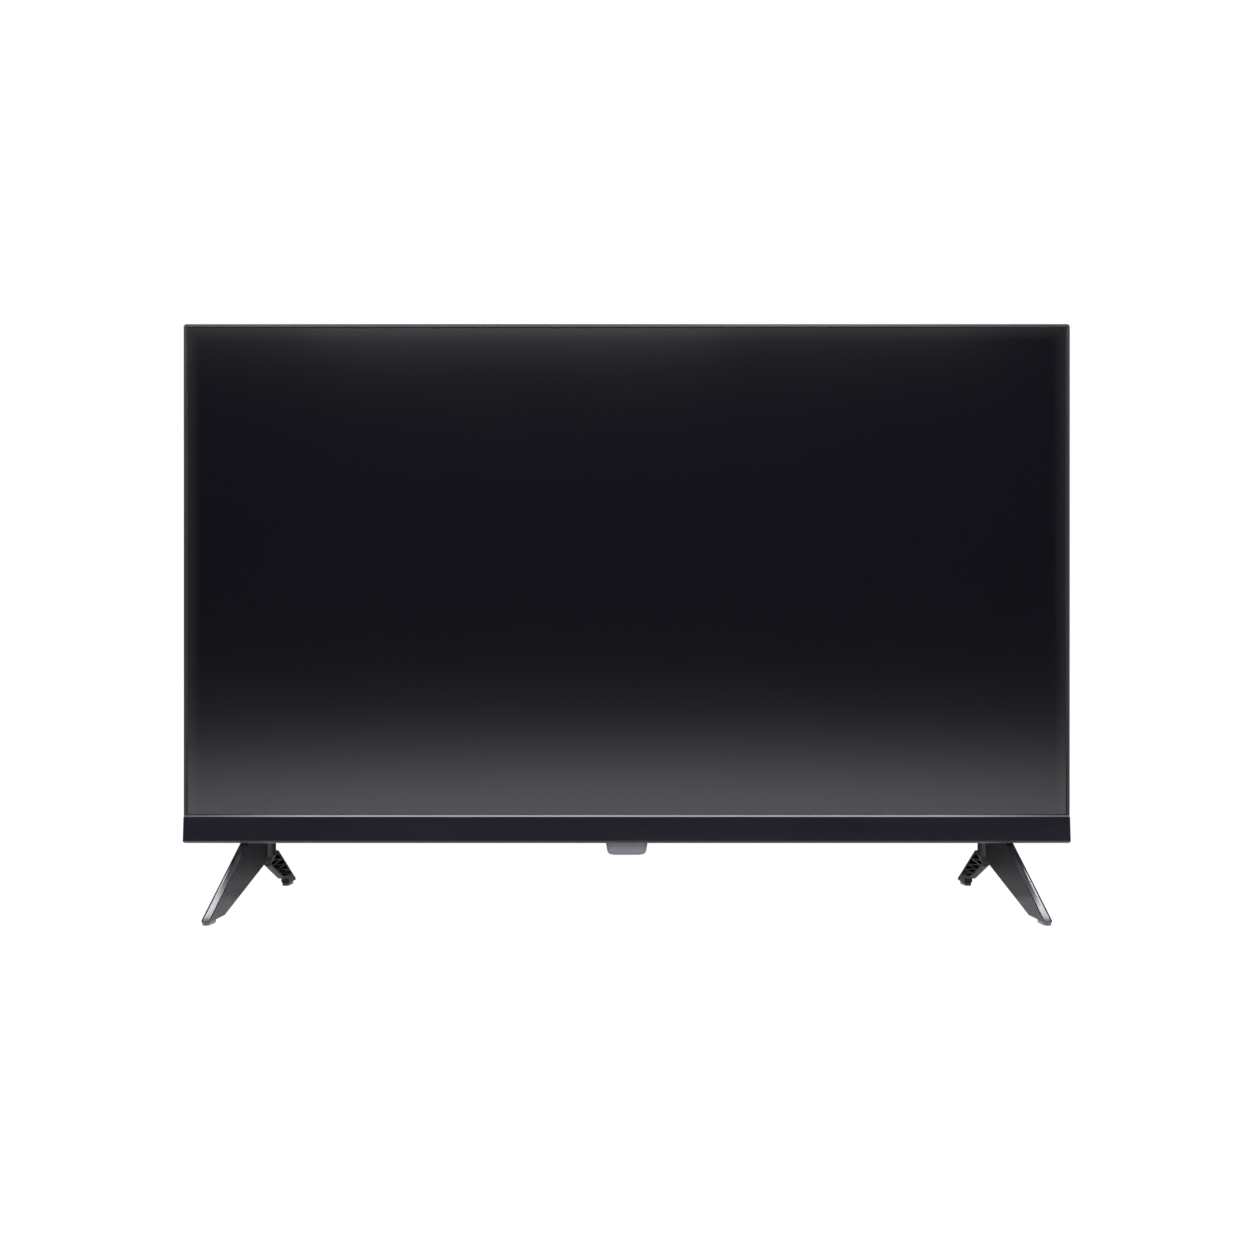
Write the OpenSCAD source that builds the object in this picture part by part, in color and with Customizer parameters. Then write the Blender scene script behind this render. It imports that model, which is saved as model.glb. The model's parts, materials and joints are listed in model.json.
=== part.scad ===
// Flat screen television on two splayed legs, built up from its separate pieces.
// Millimetres. The origin lies on the floor under the middle of the stand:
// +X is the viewer's right, +Y runs to the back and +Z is up.

/* [Cabinet] */
// Overall width of the cabinet
body_w = 722; // [700:1:760]
// Height of the cabinet without the legs
body_h = 422.8; // [412:0.2:450]
// Depth from the lower trim to the rear face
body_d = 78; // [76:1:90]
// Depth of the slim upper part
slim_d = 34; // [33:0.5:38]
// Clear height under the cabinet
ground_gap = 52; // [49:0.5:60]
// Wall of the moulded rear cover
wall = 2.2; // [1.8:0.1:2.6]
// How far the rear cover steps in behind the frame
cover_step = 1; // [0.5:0.1:2]
// How far the slim back slopes in from the edge
slope_in = 40; // [30:1:50]

/* [Screen frame] */
// Visible width of the frame at the sides and top
frame_w = 2.4; // [2:0.1:3.4]
// Depth of the frame
frame_d = 14; // [13.5:0.1:15]
// How far the frame stands behind the trim
frame_set = 1; // [0.6:0.1:1.4]
// Outer radius of the cabinet corners
corner_r = 2.5; // [1:0.1:4]
// Height of the lower trim
trim_h = 21.3; // [20:0.1:26]
// How far the foot of the trim stands out before its top
trim_lean = 1.6; // [0.5:0.1:2]
// Radius of the lower front edge of the trim
trim_roll = 2.2; // [1.5:0.1:3]
// Wall of the lower trim
trim_wall = 2; // [1.6:0.1:2]
// Height of the bright strip on the trim
strip_h = 1.6; // [1:0.1:2.4]

/* [Display stack] */
// Distance of the glass behind the trim face
glass_set = 2.2; // [2.1:0.1:2.6]
// Thickness of the glass panel
glass_t = 1.4; // [1:0.1:1.8]
// Gap between the glass and the frame
glass_gap = 0.5; // [0.3:0.1:0.8]
// Height of the lower glass edge
glass_z = 8; // [7:0.5:9]
// Thickness of the foam tape behind the glass
tape_t = 0.5; // [0.4:0.1:0.7]
// Thickness of the middle frame ledge
ledge_t = 2; // [1.6:0.1:2.4]
// Width of the middle frame ledge
ledge_w = 9; // [8:0.5:11]
// Thickness of one optical film
film_t = 0.3; // [0.2:0.05:0.4]
// Thickness of the diffuser plate
diffuser_t = 1.5; // [1.2:0.1:2]
// Thickness of the reflector sheet
reflector_t = 0.5; // [0.4:0.1:0.6]
// Thickness of the steel back plate
plate_t = 0.6; // [0.5:0.1:1]
// Depth of the light box behind the diffuser
lightbox_d = 17; // [15:0.5:18]
// How far the light box walls lean in
lightbox_in = 33; // [28:1:38]
// Rows of light bars
bar_rows = 3; // [2:1:4]
// Lenses on each bar
bar_lenses = 7; // [5:1:9]
// Radius of one lens
lens_r = 7.5; // [6:0.5:9]

/* [Lower housing] */
// Height of the housing's upper rear edge
housing_h = 265; // [262:1:300]
// Inset of the housing's rear face from the cabinet's side
housing_in = 49; // [45:1:56]
// How far the housing flanks lean out
housing_lean = 30; // [20:1:36]
// Rise of the sloping lower rear edge
heel_rise = 40; // [30:1:50]
// Setback of the sloping lower rear edge
heel_set = 12; // [8:0.5:12]
// Height of the two connector bays
bay_h = 70; // [64:1:76]
// Width of a vent slot
slot_w = 2.4; // [1.6:0.1:3]
// Spacing of the vent slots
slot_pitch = 8; // [6:0.5:10]
// Height of the rear vent slots
slot_len = 26; // [18:1:28]

/* [Wall mount] */
// Spacing of the wall mount holes
vesa = 100; // [75:25:100]
// Drop of the wall mount's centre below the housing's upper edge
vesa_drop = 75; // [72:1:80]
// Radius of the threaded wall mount hole
vesa_r = 2; // [1.5:0.5:3]
// Depth of the threaded wall mount hole
vesa_depth = 20; // [12:1:24]

/* [Legs] */
// Inset of the legs' inner sides from the cabinet's side
leg_in = 52; // [48:0.5:56]
// Toe-out of the legs in degrees
leg_toe = 7.6; // [5:0.2:9]
// Reach of the front foot ahead of the trim
leg_front = 70.5; // [60:0.5:80]
// Reach of the rear foot behind the trim
leg_rear = 105; // [100:0.5:112]
// Thickness of the leg blade
leg_t = 8; // [7:0.1:9]
// Radius of the legs' outer edges
leg_edge = 3; // [2:0.1:3.4]
// Radius of the legs' inner edges
leg_lip = 0.6; // [0.4:0.1:1.2]
// Height of the crotch between the two prongs
crotch_z = 30; // [28:0.2:34]
// Radius of the screw boss at the neck
boss_r = 7.5; // [6.5:0.1:8]
// Thickness of the rubber foot pads
pad_t = 2.4; // [2:0.2:4]
// Rib thickness inside the rear prong
rib_t = 1.4; // [1:0.1:1.8]

/* [Controls] */
// Width of the receiver window under the trim
window_w = 34; // [30:1:40]
// Drop of the receiver window under the trim
window_h = 9.5; // [8:0.5:11]
// Depth of the receiver window
window_d = 9.5; // [9:0.1:9.6]
// Travel of the power key
key_travel = 0.8; // [0.4:0.1:1]
// Running clearance of the key
key_gap = 0.3; // [0.2:0.05:0.4]

/* [Sound] */
// Inset of a speaker's middle from the cabinet's side
speaker_in = 110; // [106:1:114]
// Width of a speaker box
speaker_w = 50; // [44:1:56]
// Depth of a speaker box
speaker_d = 33; // [31:0.5:33]
// Height of a speaker box
speaker_h = 34; // [30:1:38]
// Radius of the speaker cone
cone_r = 12; // [10:0.5:12.5]
// Excursion of the speaker cone each way
cone_travel = 1; // [0.5:0.1:1.2]

/* [Hidden] */
$fn = 48;

// Sliver used where a cut has to run past a face, and a flat sheet inside a hull
eps = 0.02;
cut = 1;

// Stand: the origin is halfway between the foremost and the rearmost foot
front_ext = leg_front * cos(leg_toe) - leg_lip * sin(leg_toe);
rear_ext = leg_rear * cos(leg_toe) + (leg_t - leg_edge) * sin(leg_toe);
front_y = (front_ext - rear_ext) / 2;

// Depths of the display stack, counted back from the trim face
tape_y = glass_set + glass_t;
ledge_y = tape_y + tape_t;
film_y = ledge_y + ledge_t;
diffuser_y = film_y + 2 * film_t;
reflector_y = diffuser_y + diffuser_t;
plate_y = reflector_y + reflector_t;
bar_y = reflector_y + lightbox_d;
bar_t = 1;
lens_h = 4;
plate_back = bar_y + bar_t + plate_t;

// Outlines of the display stack
half_w = body_w / 2;
housing_hw = half_w - housing_in;
vesa_z = housing_h - vesa_drop;
frame_in = half_w - frame_w;
frame_top = body_h - frame_w;
glass_hw = frame_in - glass_gap;
glass_top = frame_top - glass_gap;
ledge_in = frame_in - ledge_w;
ledge_z = glass_z + 1;
sheet_hw = frame_in - 3;
sheet_z = ledge_z + 4;
sheet_top = frame_top - 3;
lightbox_lip = 6;
tray_gap = 0.15;

// Boards stand off the back plate
stand_h = 8;
board_y = plate_back + stand_h;
board_t = 1.6;
board_back = board_y + board_t;
board_z = bay_h + wall + 1;
bay_lap = 0.6;
bay_y = board_back - bay_lap;
board_h = 112;
board_hole = 1.6;
board_edge = 6;
main_x = [-212, -62];
power_x = [62, 212];

// Connector bays: left and right limits, seen from the front
port_bay = [-188, -70];
power_bay = [112, 170];

// Wall mount posts, and the vents on both sides of them
post_r = 7;
post_nose = 4.5;
vent_from = 84;
vent_in = 36;
vent_drop = 12;
mid_vent = [[-48, 42], [48, 60]];

// Screws of the rear cover as [x, height]; the upper ones sit in the slim part
screw_in = 26;
screw_drop = 40;
slim_screw_in = 20;
cover_screws = [
    for (x = [-1, 0, 1]) [x * (half_w - slope_in - slim_screw_in), body_h - slope_in - slim_screw_in],
    for (x = [-1, 1], z = [housing_h - screw_drop, bay_h + screw_drop]) [x * (housing_hw - screw_in), z],
    [0, bay_h + screw_in]
];
screw_r = 1.5;
screw_head_r = 2.8;
screw_head_t = 2;
well_r = 4;
well_floor = 3;

// Legs: heights count from the floor, distances back from the trim face
leg_x = half_w - leg_in;
neck_y = [2.5, 55];
crotch_y = 40.5;
sole_front = 29;
sole_rear = 17;
boss_y = 48;
boss_in = 3.25;
peg_y = [18, 34];
peg_h = 8;
peg_set = 1.2;
peg_gap = 0.25;
leg_screw_r = 1.9;
leg_screw_head_r = 2.8;
leg_screw_head_t = 2.4;
leg_screw_seat = ground_gap - 12;
leg_screw_bite = 18;
head_gap = 0.3;
screw_fit = 0.05;

// Controls in the middle of the trim
window_y = 2;
window_wall = 1.6;
key_stem_r = 2;
key_stem_fit = 0.08;
key_out = 0.6;
key_cap_h = 5;
stem_bite = 1.2;
eye_x = -9;
switch_z = 4.6;
receiver_y = frame_d - 1.8;
receiver_t = 1.2;

// Speakers stand on the floor of the rear cover and fire down
speaker_x = half_w - speaker_in;
speaker_gap = 2.2;
speaker_y = body_d - heel_set - wall - speaker_gap - speaker_d;
lead_r = 1.2;
lead_in = 4;
lead_set = 12;
lead_rise = 9;
lead_drop = 22;
lead_plug = [12, 8];
gasket_t = 2;
speaker_z = wall + gasket_t;
speaker_wall = 1.8;
cone_gap = 0.25;
cone_h = 7;
cone_cap_r = 4;

// Turns a drawing of x and height into a slab between two depths
module slab(y0, y1) translate([0, y1, 0]) rotate([90, 0, 0]) linear_extrude(y1 - y0) children();

// Turns a drawing of depth and height into a bar between two x places
module bar(x0, x1) translate([x0, 0, 0]) rotate([90, 0, 90]) linear_extrude(x1 - x0) children();

// A box between two corners
module block(a, b) translate(a) cube(b - a);

// A rod along +Y, along +Z
module rod_y(x, z, y0, y1, r) translate([x, y1, z]) rotate([90, 0, 0]) cylinder(r = r, h = y1 - y0);
module rod_z(x, y, z0, z1, r) translate([x, y, z0]) cylinder(r = r, h = z1 - z0);

// Stands what follows on the cabinet: depth from the trim face, height from the underside
module cabinet() translate([0, front_y, ground_gap]) children();

// A rectangle from -hw to hw and z0 to z1 with round corners
module round_rect(hw, z0, z1, r) {
    translate([-hw + r, z0]) square([2 * (hw - r), z1 - z0]);
    translate([-hw, z0 + r]) square([2 * hw, z1 - z0 - 2 * r]);
    for (x = [-hw + r, hw - r], z = [z0 + r, z1 - r]) translate([x, z]) circle(r);
}

// A plain rectangle from -hw to hw and z0 to z1
module rect(hw, z0, z1) translate([-hw, z0]) square([2 * hw, z1 - z0]);

// A strip with round ends, its length along the first axis
module pill(len, w) {
    translate([-len / 2 + w / 2, -w / 2]) square([len - w, w]);
    for (s = [-1, 1]) translate([s * (len - w) / 2, 0]) circle(w / 2);
}

// A thin sheet with round corners at one depth, as a station of a hull
module station(y, hw, z0, z1, r) {
    for (x = [-hw + r, hw - r], z = [z0 + r, z1 - r])
        translate([x, y, z]) rotate([90, 0, 0]) cylinder(r = r, h = eps, $fn = 32);
}

// Both mirrored copies of what stands on the +X side
module both_sides() {
    children();
    mirror([1, 0, 0]) children();
}

// Frame round the screen: top and both sides, notched at its feet for the bright strip
module screen_frame() color([0.13, 0.13, 0.14]) cabinet() difference() {
    slab(frame_set, frame_d) difference() {
        union() {
            round_rect(half_w, trim_h, body_h, corner_r);
            rect(half_w, trim_h, body_h / 2);
        }
        rect(frame_in, trim_h - cut, frame_top);
    }
    block([-half_w - cut, 0, trim_h - cut], [half_w + cut, trim_wall, trim_h + strip_h]);
}

// Lower trim: front wall, floor and two end caps, open to the back
module lower_trim() color([0.06, 0.06, 0.08]) cabinet() {
    lip = 0.6;
    fillet = 0.8;
    front = [
        [lip, trim_h], [0, trim_h - lip],
        for (a = [0 : 22.5 : 90]) [trim_roll * (1 - cos(a)) - trim_lean, trim_roll * (1 - sin(a))]
    ];
    difference() {
        intersection() {
            union() {
                bar(-half_w, half_w) polygon([
                    each front, [frame_d, 0], [frame_d, wall], [trim_wall + fillet, wall],
                    [trim_wall, wall + fillet], [trim_wall, trim_h]
                ]);
                for (x = [-half_w, half_w - frame_w]) bar(x, x + frame_w)
                    polygon([each front, [frame_d, 0], [frame_d, trim_h]]);
            }
            slab(-trim_lean - cut, frame_d + cut) round_rect(half_w, 0, trim_h + 2 * corner_r, corner_r);
        }
        rod_z(0, key_y(), -cut, wall + cut, key_stem_r + key_stem_fit);
        translate([eye_x, guide_y(), -cut]) linear_extrude(wall + 2 * cut)
            square([guide_w + 2 * peg_gap, guide_d + 2 * peg_gap], center = true);
    }
}

// Bright strip that lies on the trim under the picture
module bright_strip() color([0.75, 0.75, 0.78]) cabinet() {
    set_back = 0.3;
    block([-half_w + set_back, set_back, trim_h], [half_w - set_back, trim_wall, trim_h + strip_h]);
}

// Glass of the display
module lcd_panel() color([0.07, 0.07, 0.08]) cabinet()
    slab(glass_set, tape_y) rect(glass_hw, glass_z, glass_top);

// Foam tape between the glass and the middle frame
module panel_tape() color([0.2, 0.2, 0.2]) cabinet() {
    tape_w = 5;
    lower = ledge_z + ledge_w;
    slab(tape_y, ledge_y) difference() {
        rect(glass_hw - 1, lower - 3, glass_top - 1);
        rect(glass_hw - 1 - tape_w, lower, glass_top - 1 - tape_w);
    }
}

// Middle frame: ledge that carries the glass, with a skirt inside the screen frame
module middle_frame() color([0.25, 0.25, 0.26]) cabinet() {
    skirt = 1.4;
    slab(ledge_y, film_y) difference() {
        rect(frame_in, ledge_z, frame_top);
        rect(ledge_in, ledge_z + ledge_w, frame_top - ledge_w);
    }
    slab(film_y - eps, frame_d) difference() {
        rect(frame_in, ledge_z, frame_top);
        rect(frame_in - skirt, ledge_z - cut, frame_top - skirt);
    }
}

// One sheet of the optical stack
module optical_sheet(y, t) slab(y, y + t) rect(sheet_hw, sheet_z, sheet_top);

module prism_film() color([0.9, 0.92, 0.95]) cabinet() optical_sheet(film_y, film_t);

module diffuser_film() color([0.95, 0.95, 0.95]) cabinet() optical_sheet(film_y + film_t, film_t);

module diffuser_plate() color([0.97, 0.97, 0.97]) cabinet() optical_sheet(diffuser_y, diffuser_t);

// How far the light box wall stands inside the sheets at a depth, and how far a thickness moves it
function box_lean(y) = lightbox_lip + lightbox_in * (y - reflector_y) / lightbox_d;
function box_shift(t) = t * sqrt(pow(lightbox_in, 2) + pow(lightbox_d, 2)) / lightbox_d;

// Tapered body of the light box between two depths, grown by a thickness
module light_box(y0, y1, grow) hull() for (y = [y0, y1 - eps]) {
    in = box_lean(y) - box_shift(grow);
    slab(y, y + eps) rect(sheet_hw - in, sheet_z + in, sheet_top - in);
}

// Places of the lenses as [x, height]
bar_len = 2 * (sheet_hw - lightbox_lip - lightbox_in) - 12;
bar_z = [for (i = [0 : bar_rows - 1])
    sheet_z + (sheet_top - sheet_z) * (0.5 + (i - (bar_rows - 1) / 2) * 0.3)];
lens_x = [for (i = [0 : bar_lenses - 1]) (i - (bar_lenses - 1) / 2) * bar_len / bar_lenses];

// White reflector tray with a hole for every lens
module reflector_sheet() color([0.98, 0.98, 0.98]) cabinet() {
    hole_gap = 0.6;
    difference() {
        union() {
            slab(reflector_y, plate_y) rect(sheet_hw, sheet_z, sheet_top);
            light_box(reflector_y, bar_y, 0);
        }
        light_box(reflector_y - cut, bar_y - reflector_t, -reflector_t);
        for (z = bar_z, x = lens_x) rod_y(x, z, bar_y - 2 * cut, bar_y + cut, lens_r + hole_gap);
    }
}

// Aluminium strips that carry the lights
module light_bars() color([0.85, 0.85, 0.82]) cabinet() {
    strip_w = 14;
    for (z = bar_z) slab(bar_y, bar_y + bar_t)
        translate([-bar_len / 2, z - strip_w / 2]) square([bar_len, strip_w]);
}

// One spreading lens over each light
module light_lenses() color([0.9, 0.95, 1]) cabinet() {
    rim = 1.5;
    for (z = bar_z, x = lens_x) translate([x, bar_y, z]) rotate([90, 0, 0]) rotate_extrude()
        polygon([
            [0, 0], [lens_r, 0], [lens_r, rim],
            for (a = [15 : 15 : 75]) [lens_r * cos(a), rim + (lens_h - rim) * sin(a)],
            [lens_r * 0.12, lens_h], [0, lens_h * 0.8]
        ]);
}

// Places of the board standoffs as [x, height]
function stand_places(x) = [for (px = [x[0] + board_edge, x[1] - board_edge],
    pz = [board_z + board_edge, board_z + board_h - board_edge]) [px, pz]];

// Steel tray behind the light box, with the standoffs of both boards
module back_plate() color([0.62, 0.63, 0.64]) cabinet() {
    stand_r = 4;
    places = concat(stand_places(main_x), stand_places(power_x));
    difference() {
        union() {
            slab(plate_y, plate_y + plate_t) rect(sheet_hw, sheet_z, sheet_top);
            light_box(plate_y, plate_back, tray_gap + plate_t);
            for (p = places) rod_y(p[0], p[1], plate_back - eps, board_y, stand_r);
        }
        light_box(plate_y - cut, plate_back - plate_t, tray_gap);
        for (p = places) rod_y(p[0], p[1], plate_back, board_y + cut, board_hole);
        for (s = cover_screws) rod_y(s[0], s[1], plate_back - 2 * cut, plate_back + cut, screw_r);
    }
}

// Strip board along the lower edge that drives the glass
source_hw = 145;
source_y = frame_d + 0.4;
source_top = 17;
module source_board() color([0.1, 0.3, 0.16]) cabinet()
    block([-source_hw, source_y, wall], [source_hw, source_y + board_t, source_top]);

// Flex ribbons from the glass down and back to the strip board
ribbon_x = [-120, -60, 60, 120];
ribbon_w = 36;
ribbon_t = 0.3;
ribbon_bond = 3;
ribbon_foot = 4;
ribbon_z = wall + 1.1;
module flex_ribbons() color([0.55, 0.35, 0.12]) cabinet()
    for (x = ribbon_x) bar(x - ribbon_w / 2, x + ribbon_w / 2) polygon([
        [tape_y, glass_z + ribbon_bond], [tape_y, ribbon_z], [source_y, ribbon_z],
        [source_y, ribbon_z + ribbon_foot], [source_y - ribbon_t, ribbon_z + ribbon_foot],
        [source_y - ribbon_t, ribbon_z + ribbon_t], [tape_y + ribbon_t, ribbon_z + ribbon_t],
        [tape_y + ribbon_t, glass_z + ribbon_bond]
    ]);

// Flat cable from the strip board up to the main board
cable_x = [-106, -82];
cable_y = plate_back + 2.4;
plug_h = 8;
module display_cable() color([0.85, 0.85, 0.87]) cabinet() {
    t = 0.4;
    low = source_top - 5;
    top = board_z + 6;
    plug_d = board_y - cable_y;
    bar(cable_x[0], cable_x[1]) polygon([
        [source_y + board_t, low], [cable_y + t, low], [cable_y + t, top],
        [cable_y, top], [cable_y, low + t], [source_y + board_t, low + t]
    ]);
    block([cable_x[0] - 2, cable_y, top - eps], [cable_x[1] + 2, cable_y + plug_d, top + plug_h]);
}

// Printed board with its fixing holes
module board(x) difference() {
    block([x[0], board_y, board_z], [x[1], board_back, board_z + board_h]);
    for (p = stand_places(x)) rod_y(p[0], p[1], board_y - cut, board_back + cut, board_hole);
}

module main_board() color([0.08, 0.32, 0.18]) cabinet() board(main_x);

// Memory, flash and power chips on the main board, each [x, height on the board, side]
chips = [[-198, 49, 12], [-182, 49, 12], [-112, 77, 9], [-96, 51, 7], [-184, 87, 8]];
chip_t = 1.2;
module main_chips() color([0.06, 0.06, 0.06]) cabinet() for (c = chips)
    block([c[0], board_back, board_z + c[1]], [c[0] + c[2], board_back + chip_t, board_z + c[1] + c[2]]);

// Finned heat sink over the processor
module heat_sink() color([0.55, 0.56, 0.58]) cabinet() {
    sink = 38;
    base_t = 3;
    fin_h = 10;
    fin_t = 1.4;
    fins = 8;
    x0 = -160;
    z0 = board_z + 45;
    block([x0, board_back, z0], [x0 + sink, board_back + base_t, z0 + sink]);
    for (i = [0 : fins - 1]) {
        x = x0 + i * (sink - fin_t) / (fins - 1);
        block([x, board_back + base_t - eps, z0], [x + fin_t, board_back + base_t + fin_h, z0 + sink]);
    }
}

// Sockets stand on the rear of the main board and look down through the bay's ceiling
socket_y = board_back;
tuner_x = -175;
network_x = -154;
video_x = [-134, -116];
usb_x = -100;
jack_x = [-87, -77];
shell_t = 0.8;
hole_fit = 0.4;
tuner_d = 12;
network_size = [16, 13.5];
video_size = [15, 6.2];
usb_size = [14, 7];
jack_size = [9, 8];
socket_len = 15;
barrel_r = 4.75;
barrel_len = 8;
jack_r = 1.8;

module tuner_can() color([0.75, 0.76, 0.78]) cabinet()
    block([tuner_x - 11, socket_y, board_z + 2], [tuner_x + 11, socket_y + tuner_d, board_z + 34]);

// Threaded antenna barrel under the tuner
barrel_y = socket_y + tuner_d / 2;
module antenna_socket() color([0.8, 0.72, 0.45]) cabinet() difference() {
    union() {
        rod_z(tuner_x, barrel_y, bay_h - barrel_len, board_z + 2, barrel_r);
        rod_z(tuner_x, barrel_y, bay_h - 2.5, bay_h, barrel_r + 1.6, $fn = 6);
    }
    rod_z(tuner_x, barrel_y, bay_h - barrel_len - cut, bay_h - 1, 2.2);
}

// A shell that is open downwards, with a contact tongue where it has one
module socket_shell(x, size, tongue) {
    mouth = [size[0] - 2 * shell_t, size[1] - 2 * shell_t];
    deep = 12;
    difference() {
        block([x - size[0] / 2, socket_y, bay_h], [x + size[0] / 2, socket_y + size[1], bay_h + socket_len]);
        block([x - mouth[0] / 2, socket_y + shell_t, bay_h - cut],
            [x + mouth[0] / 2, socket_y + shell_t + mouth[1], bay_h + deep]);
    }
    if (tongue > 0) block([x - mouth[0] / 2 + 1.6, socket_y + size[1] / 2 - tongue / 2, bay_h + 1.5],
        [x + mouth[0] / 2 - 1.6, socket_y + size[1] / 2 + tongue / 2, bay_h + deep + eps]);
}

module network_socket() color([0.7, 0.71, 0.72]) cabinet() socket_shell(network_x, network_size, 0);

module video_sockets() color([0.6, 0.6, 0.62]) cabinet() for (x = video_x) socket_shell(x, video_size, 1.1);

module usb_socket() color([0.68, 0.69, 0.7]) cabinet() socket_shell(usb_x, usb_size, 1.8);

// Round sockets for sound and picture leads
module audio_jacks() color([0.1, 0.1, 0.11]) cabinet() for (x = jack_x) difference() {
    block([x - jack_size[0] / 2, socket_y, bay_h],
        [x + jack_size[0] / 2, socket_y + jack_size[1], bay_h + socket_len]);
    rod_z(x, socket_y + jack_size[1] / 2, bay_h - cut, bay_h + socket_len - 1, jack_r);
}

// Small radio card on the main board
radio_size = [14, 2.4, 26];
module radio_module() color([0.1, 0.25, 0.45]) cabinet() {
    at = [main_x[0] + board_edge, board_back, board_z + 67];
    block(at, at + radio_size);
}

module power_board() color([0.62, 0.5, 0.28]) cabinet() board(power_x);

// Wound core on the power board
module transformer() color([0.9, 0.75, 0.2]) cabinet() {
    core = [34, 22, 30];
    x0 = 140;
    z0 = board_z + 57;
    block([x0, board_back, z0], [x0 + core[0], board_back + core[1], z0 + core[2]]);
    block([x0 - 3, board_back, z0 + 5], [x0 + core[0] + 3, board_back + core[1] - 5, z0 + core[2] - 5]);
}

// Electrolytic cans on the power board, each [x, height on the board, radius, length]
cans = [[90, 32, 9, 25], [90, 57, 6, 18], [112, 85, 5, 16], [188, 37, 8, 22], [196, 77, 5, 14]];
module capacitors() color([0.12, 0.12, 0.16]) cabinet()
    for (c = cans) rod_y(c[0], board_z + c[1], board_back, board_back + c[3], c[2]);

// Mains inlet with a figure-of-eight mouth that looks down
inlet_x = (power_bay[0] + power_bay[1]) / 2;
inlet_size = [22, 14];
inlet_len = 20;
inlet_deep = 12;
inlet_pitch = 8.6;
inlet_r = 4.4;
pin_r = 1.2;
inlet_y = socket_y + inlet_size[1] / 2;
module power_inlet() color([0.08, 0.08, 0.09]) cabinet() difference() {
    block([inlet_x - inlet_size[0] / 2, socket_y, bay_h],
        [inlet_x + inlet_size[0] / 2, socket_y + inlet_size[1], bay_h + inlet_len]);
    for (s = [-1, 1]) rod_z(inlet_x + s * inlet_pitch / 2, inlet_y, bay_h - cut, bay_h + inlet_deep, inlet_r);
    block([inlet_x - inlet_pitch / 2, inlet_y - inlet_r * 0.8, bay_h - cut],
        [inlet_x + inlet_pitch / 2, inlet_y + inlet_r * 0.8, bay_h + inlet_deep]);
}

module inlet_pins() color([0.8, 0.8, 0.8]) cabinet()
    for (s = [-1, 1]) rod_z(inlet_x + s * inlet_pitch / 2, inlet_y, bay_h + 2.5, bay_h + inlet_deep, pin_r);

// Leads from the power board to the main board, with a plug at each end
harness_plug = [9, 7, 16];
harness_in = 2;
harness_r = 0.9;
harness_wires = 4;
harness_gap = 10.2;
low_post = vesa_z - vesa / 2;
over_post = low_post + post_r + harness_gap;
under_post = low_post - post_r - harness_gap - harness_plug[2];
harness_z = over_post + harness_plug[2] < board_z + board_h ? over_post : under_post;
module power_harness() color([0.8, 0.2, 0.15]) cabinet() {
    ends = [main_x[1] - harness_in, power_x[0] + harness_in];
    pitch = harness_plug[2] / harness_wires;
    for (x = [ends[0] - harness_plug[0], ends[1]])
        translate([x, board_back, harness_z]) cube(harness_plug);
    for (i = [0.5 : harness_wires])
        translate([ends[0] - eps, board_back + harness_plug[1] / 2, harness_z + i * pitch]) rotate([0, 90, 0])
            cylinder(r = harness_r, h = ends[1] - ends[0] + 2 * eps, $fn = 16);
}

// Speaker box, open below for its cone
module speaker(x) {
    hw = speaker_w / 2;
    y1 = speaker_y + speaker_d;
    mid = speaker_y + speaker_d / 2;
    z1 = speaker_z + speaker_h;
    difference() {
        block([x - hw, speaker_y, speaker_z], [x + hw, y1, z1]);
        block([x - hw + speaker_wall, speaker_y + speaker_wall, speaker_z + speaker_wall],
            [x + hw - speaker_wall, y1 - speaker_wall, z1 - speaker_wall]);
        rod_z(x, mid, speaker_z - cut, speaker_z + 2 * speaker_wall, cone_r + cone_gap);
    }
    difference() {
        rod_z(x, mid, speaker_z + speaker_wall - eps, magnet_z(), cone_r + cone_gap + speaker_wall);
        rod_z(x, mid, speaker_z, magnet_z() + cut, cone_r + cone_gap);
    }
    rod_z(x, mid, magnet_z() - eps, z1 - speaker_wall + eps, cone_r + cone_gap + speaker_wall);
}

// Height of the magnet above the cone at the top of its travel
function magnet_z() = speaker_z + cone_travel + 0.4 + cone_h + cone_travel + 0.4;

module speaker_left() color([0.09, 0.09, 0.1]) cabinet() speaker(-speaker_x);

module speaker_right() color([0.09, 0.09, 0.1]) cabinet() speaker(speaker_x);

// Foam seal between each speaker and the cover's floor
module speaker_gaskets() color([0.18, 0.18, 0.18]) cabinet() {
    seal = 3;
    for (x = [-speaker_x, speaker_x]) translate([0, 0, wall]) linear_extrude(gasket_t) difference() {
        translate([x - speaker_w / 2, speaker_y]) square([speaker_w, speaker_d]);
        translate([x - speaker_w / 2 + seal, speaker_y + seal])
            square([speaker_w - 2 * seal, speaker_d - 2 * seal]);
    }
}

// Speaker cone with its dust cap and voice coil
module cone(x) translate([x, speaker_y + speaker_d / 2, speaker_z + cone_travel + 0.4])
    rotate_extrude() polygon([
        [0, cone_h * 0.3], [cone_cap_r * 0.7, cone_h * 0.34], [cone_cap_r, cone_h * 0.5], [cone_r - 1, 0],
        [cone_r, 0], [cone_r, 1.2], [cone_r - 1, 1.2], [cone_cap_r + 1, cone_h * 0.65],
        [cone_cap_r + 1, cone_h], [0, cone_h]
    ]);

module cone_left() color([0.15, 0.15, 0.16]) cabinet() cone(-speaker_x);

module cone_right() color([0.15, 0.15, 0.16]) cabinet() cone(speaker_x);

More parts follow.
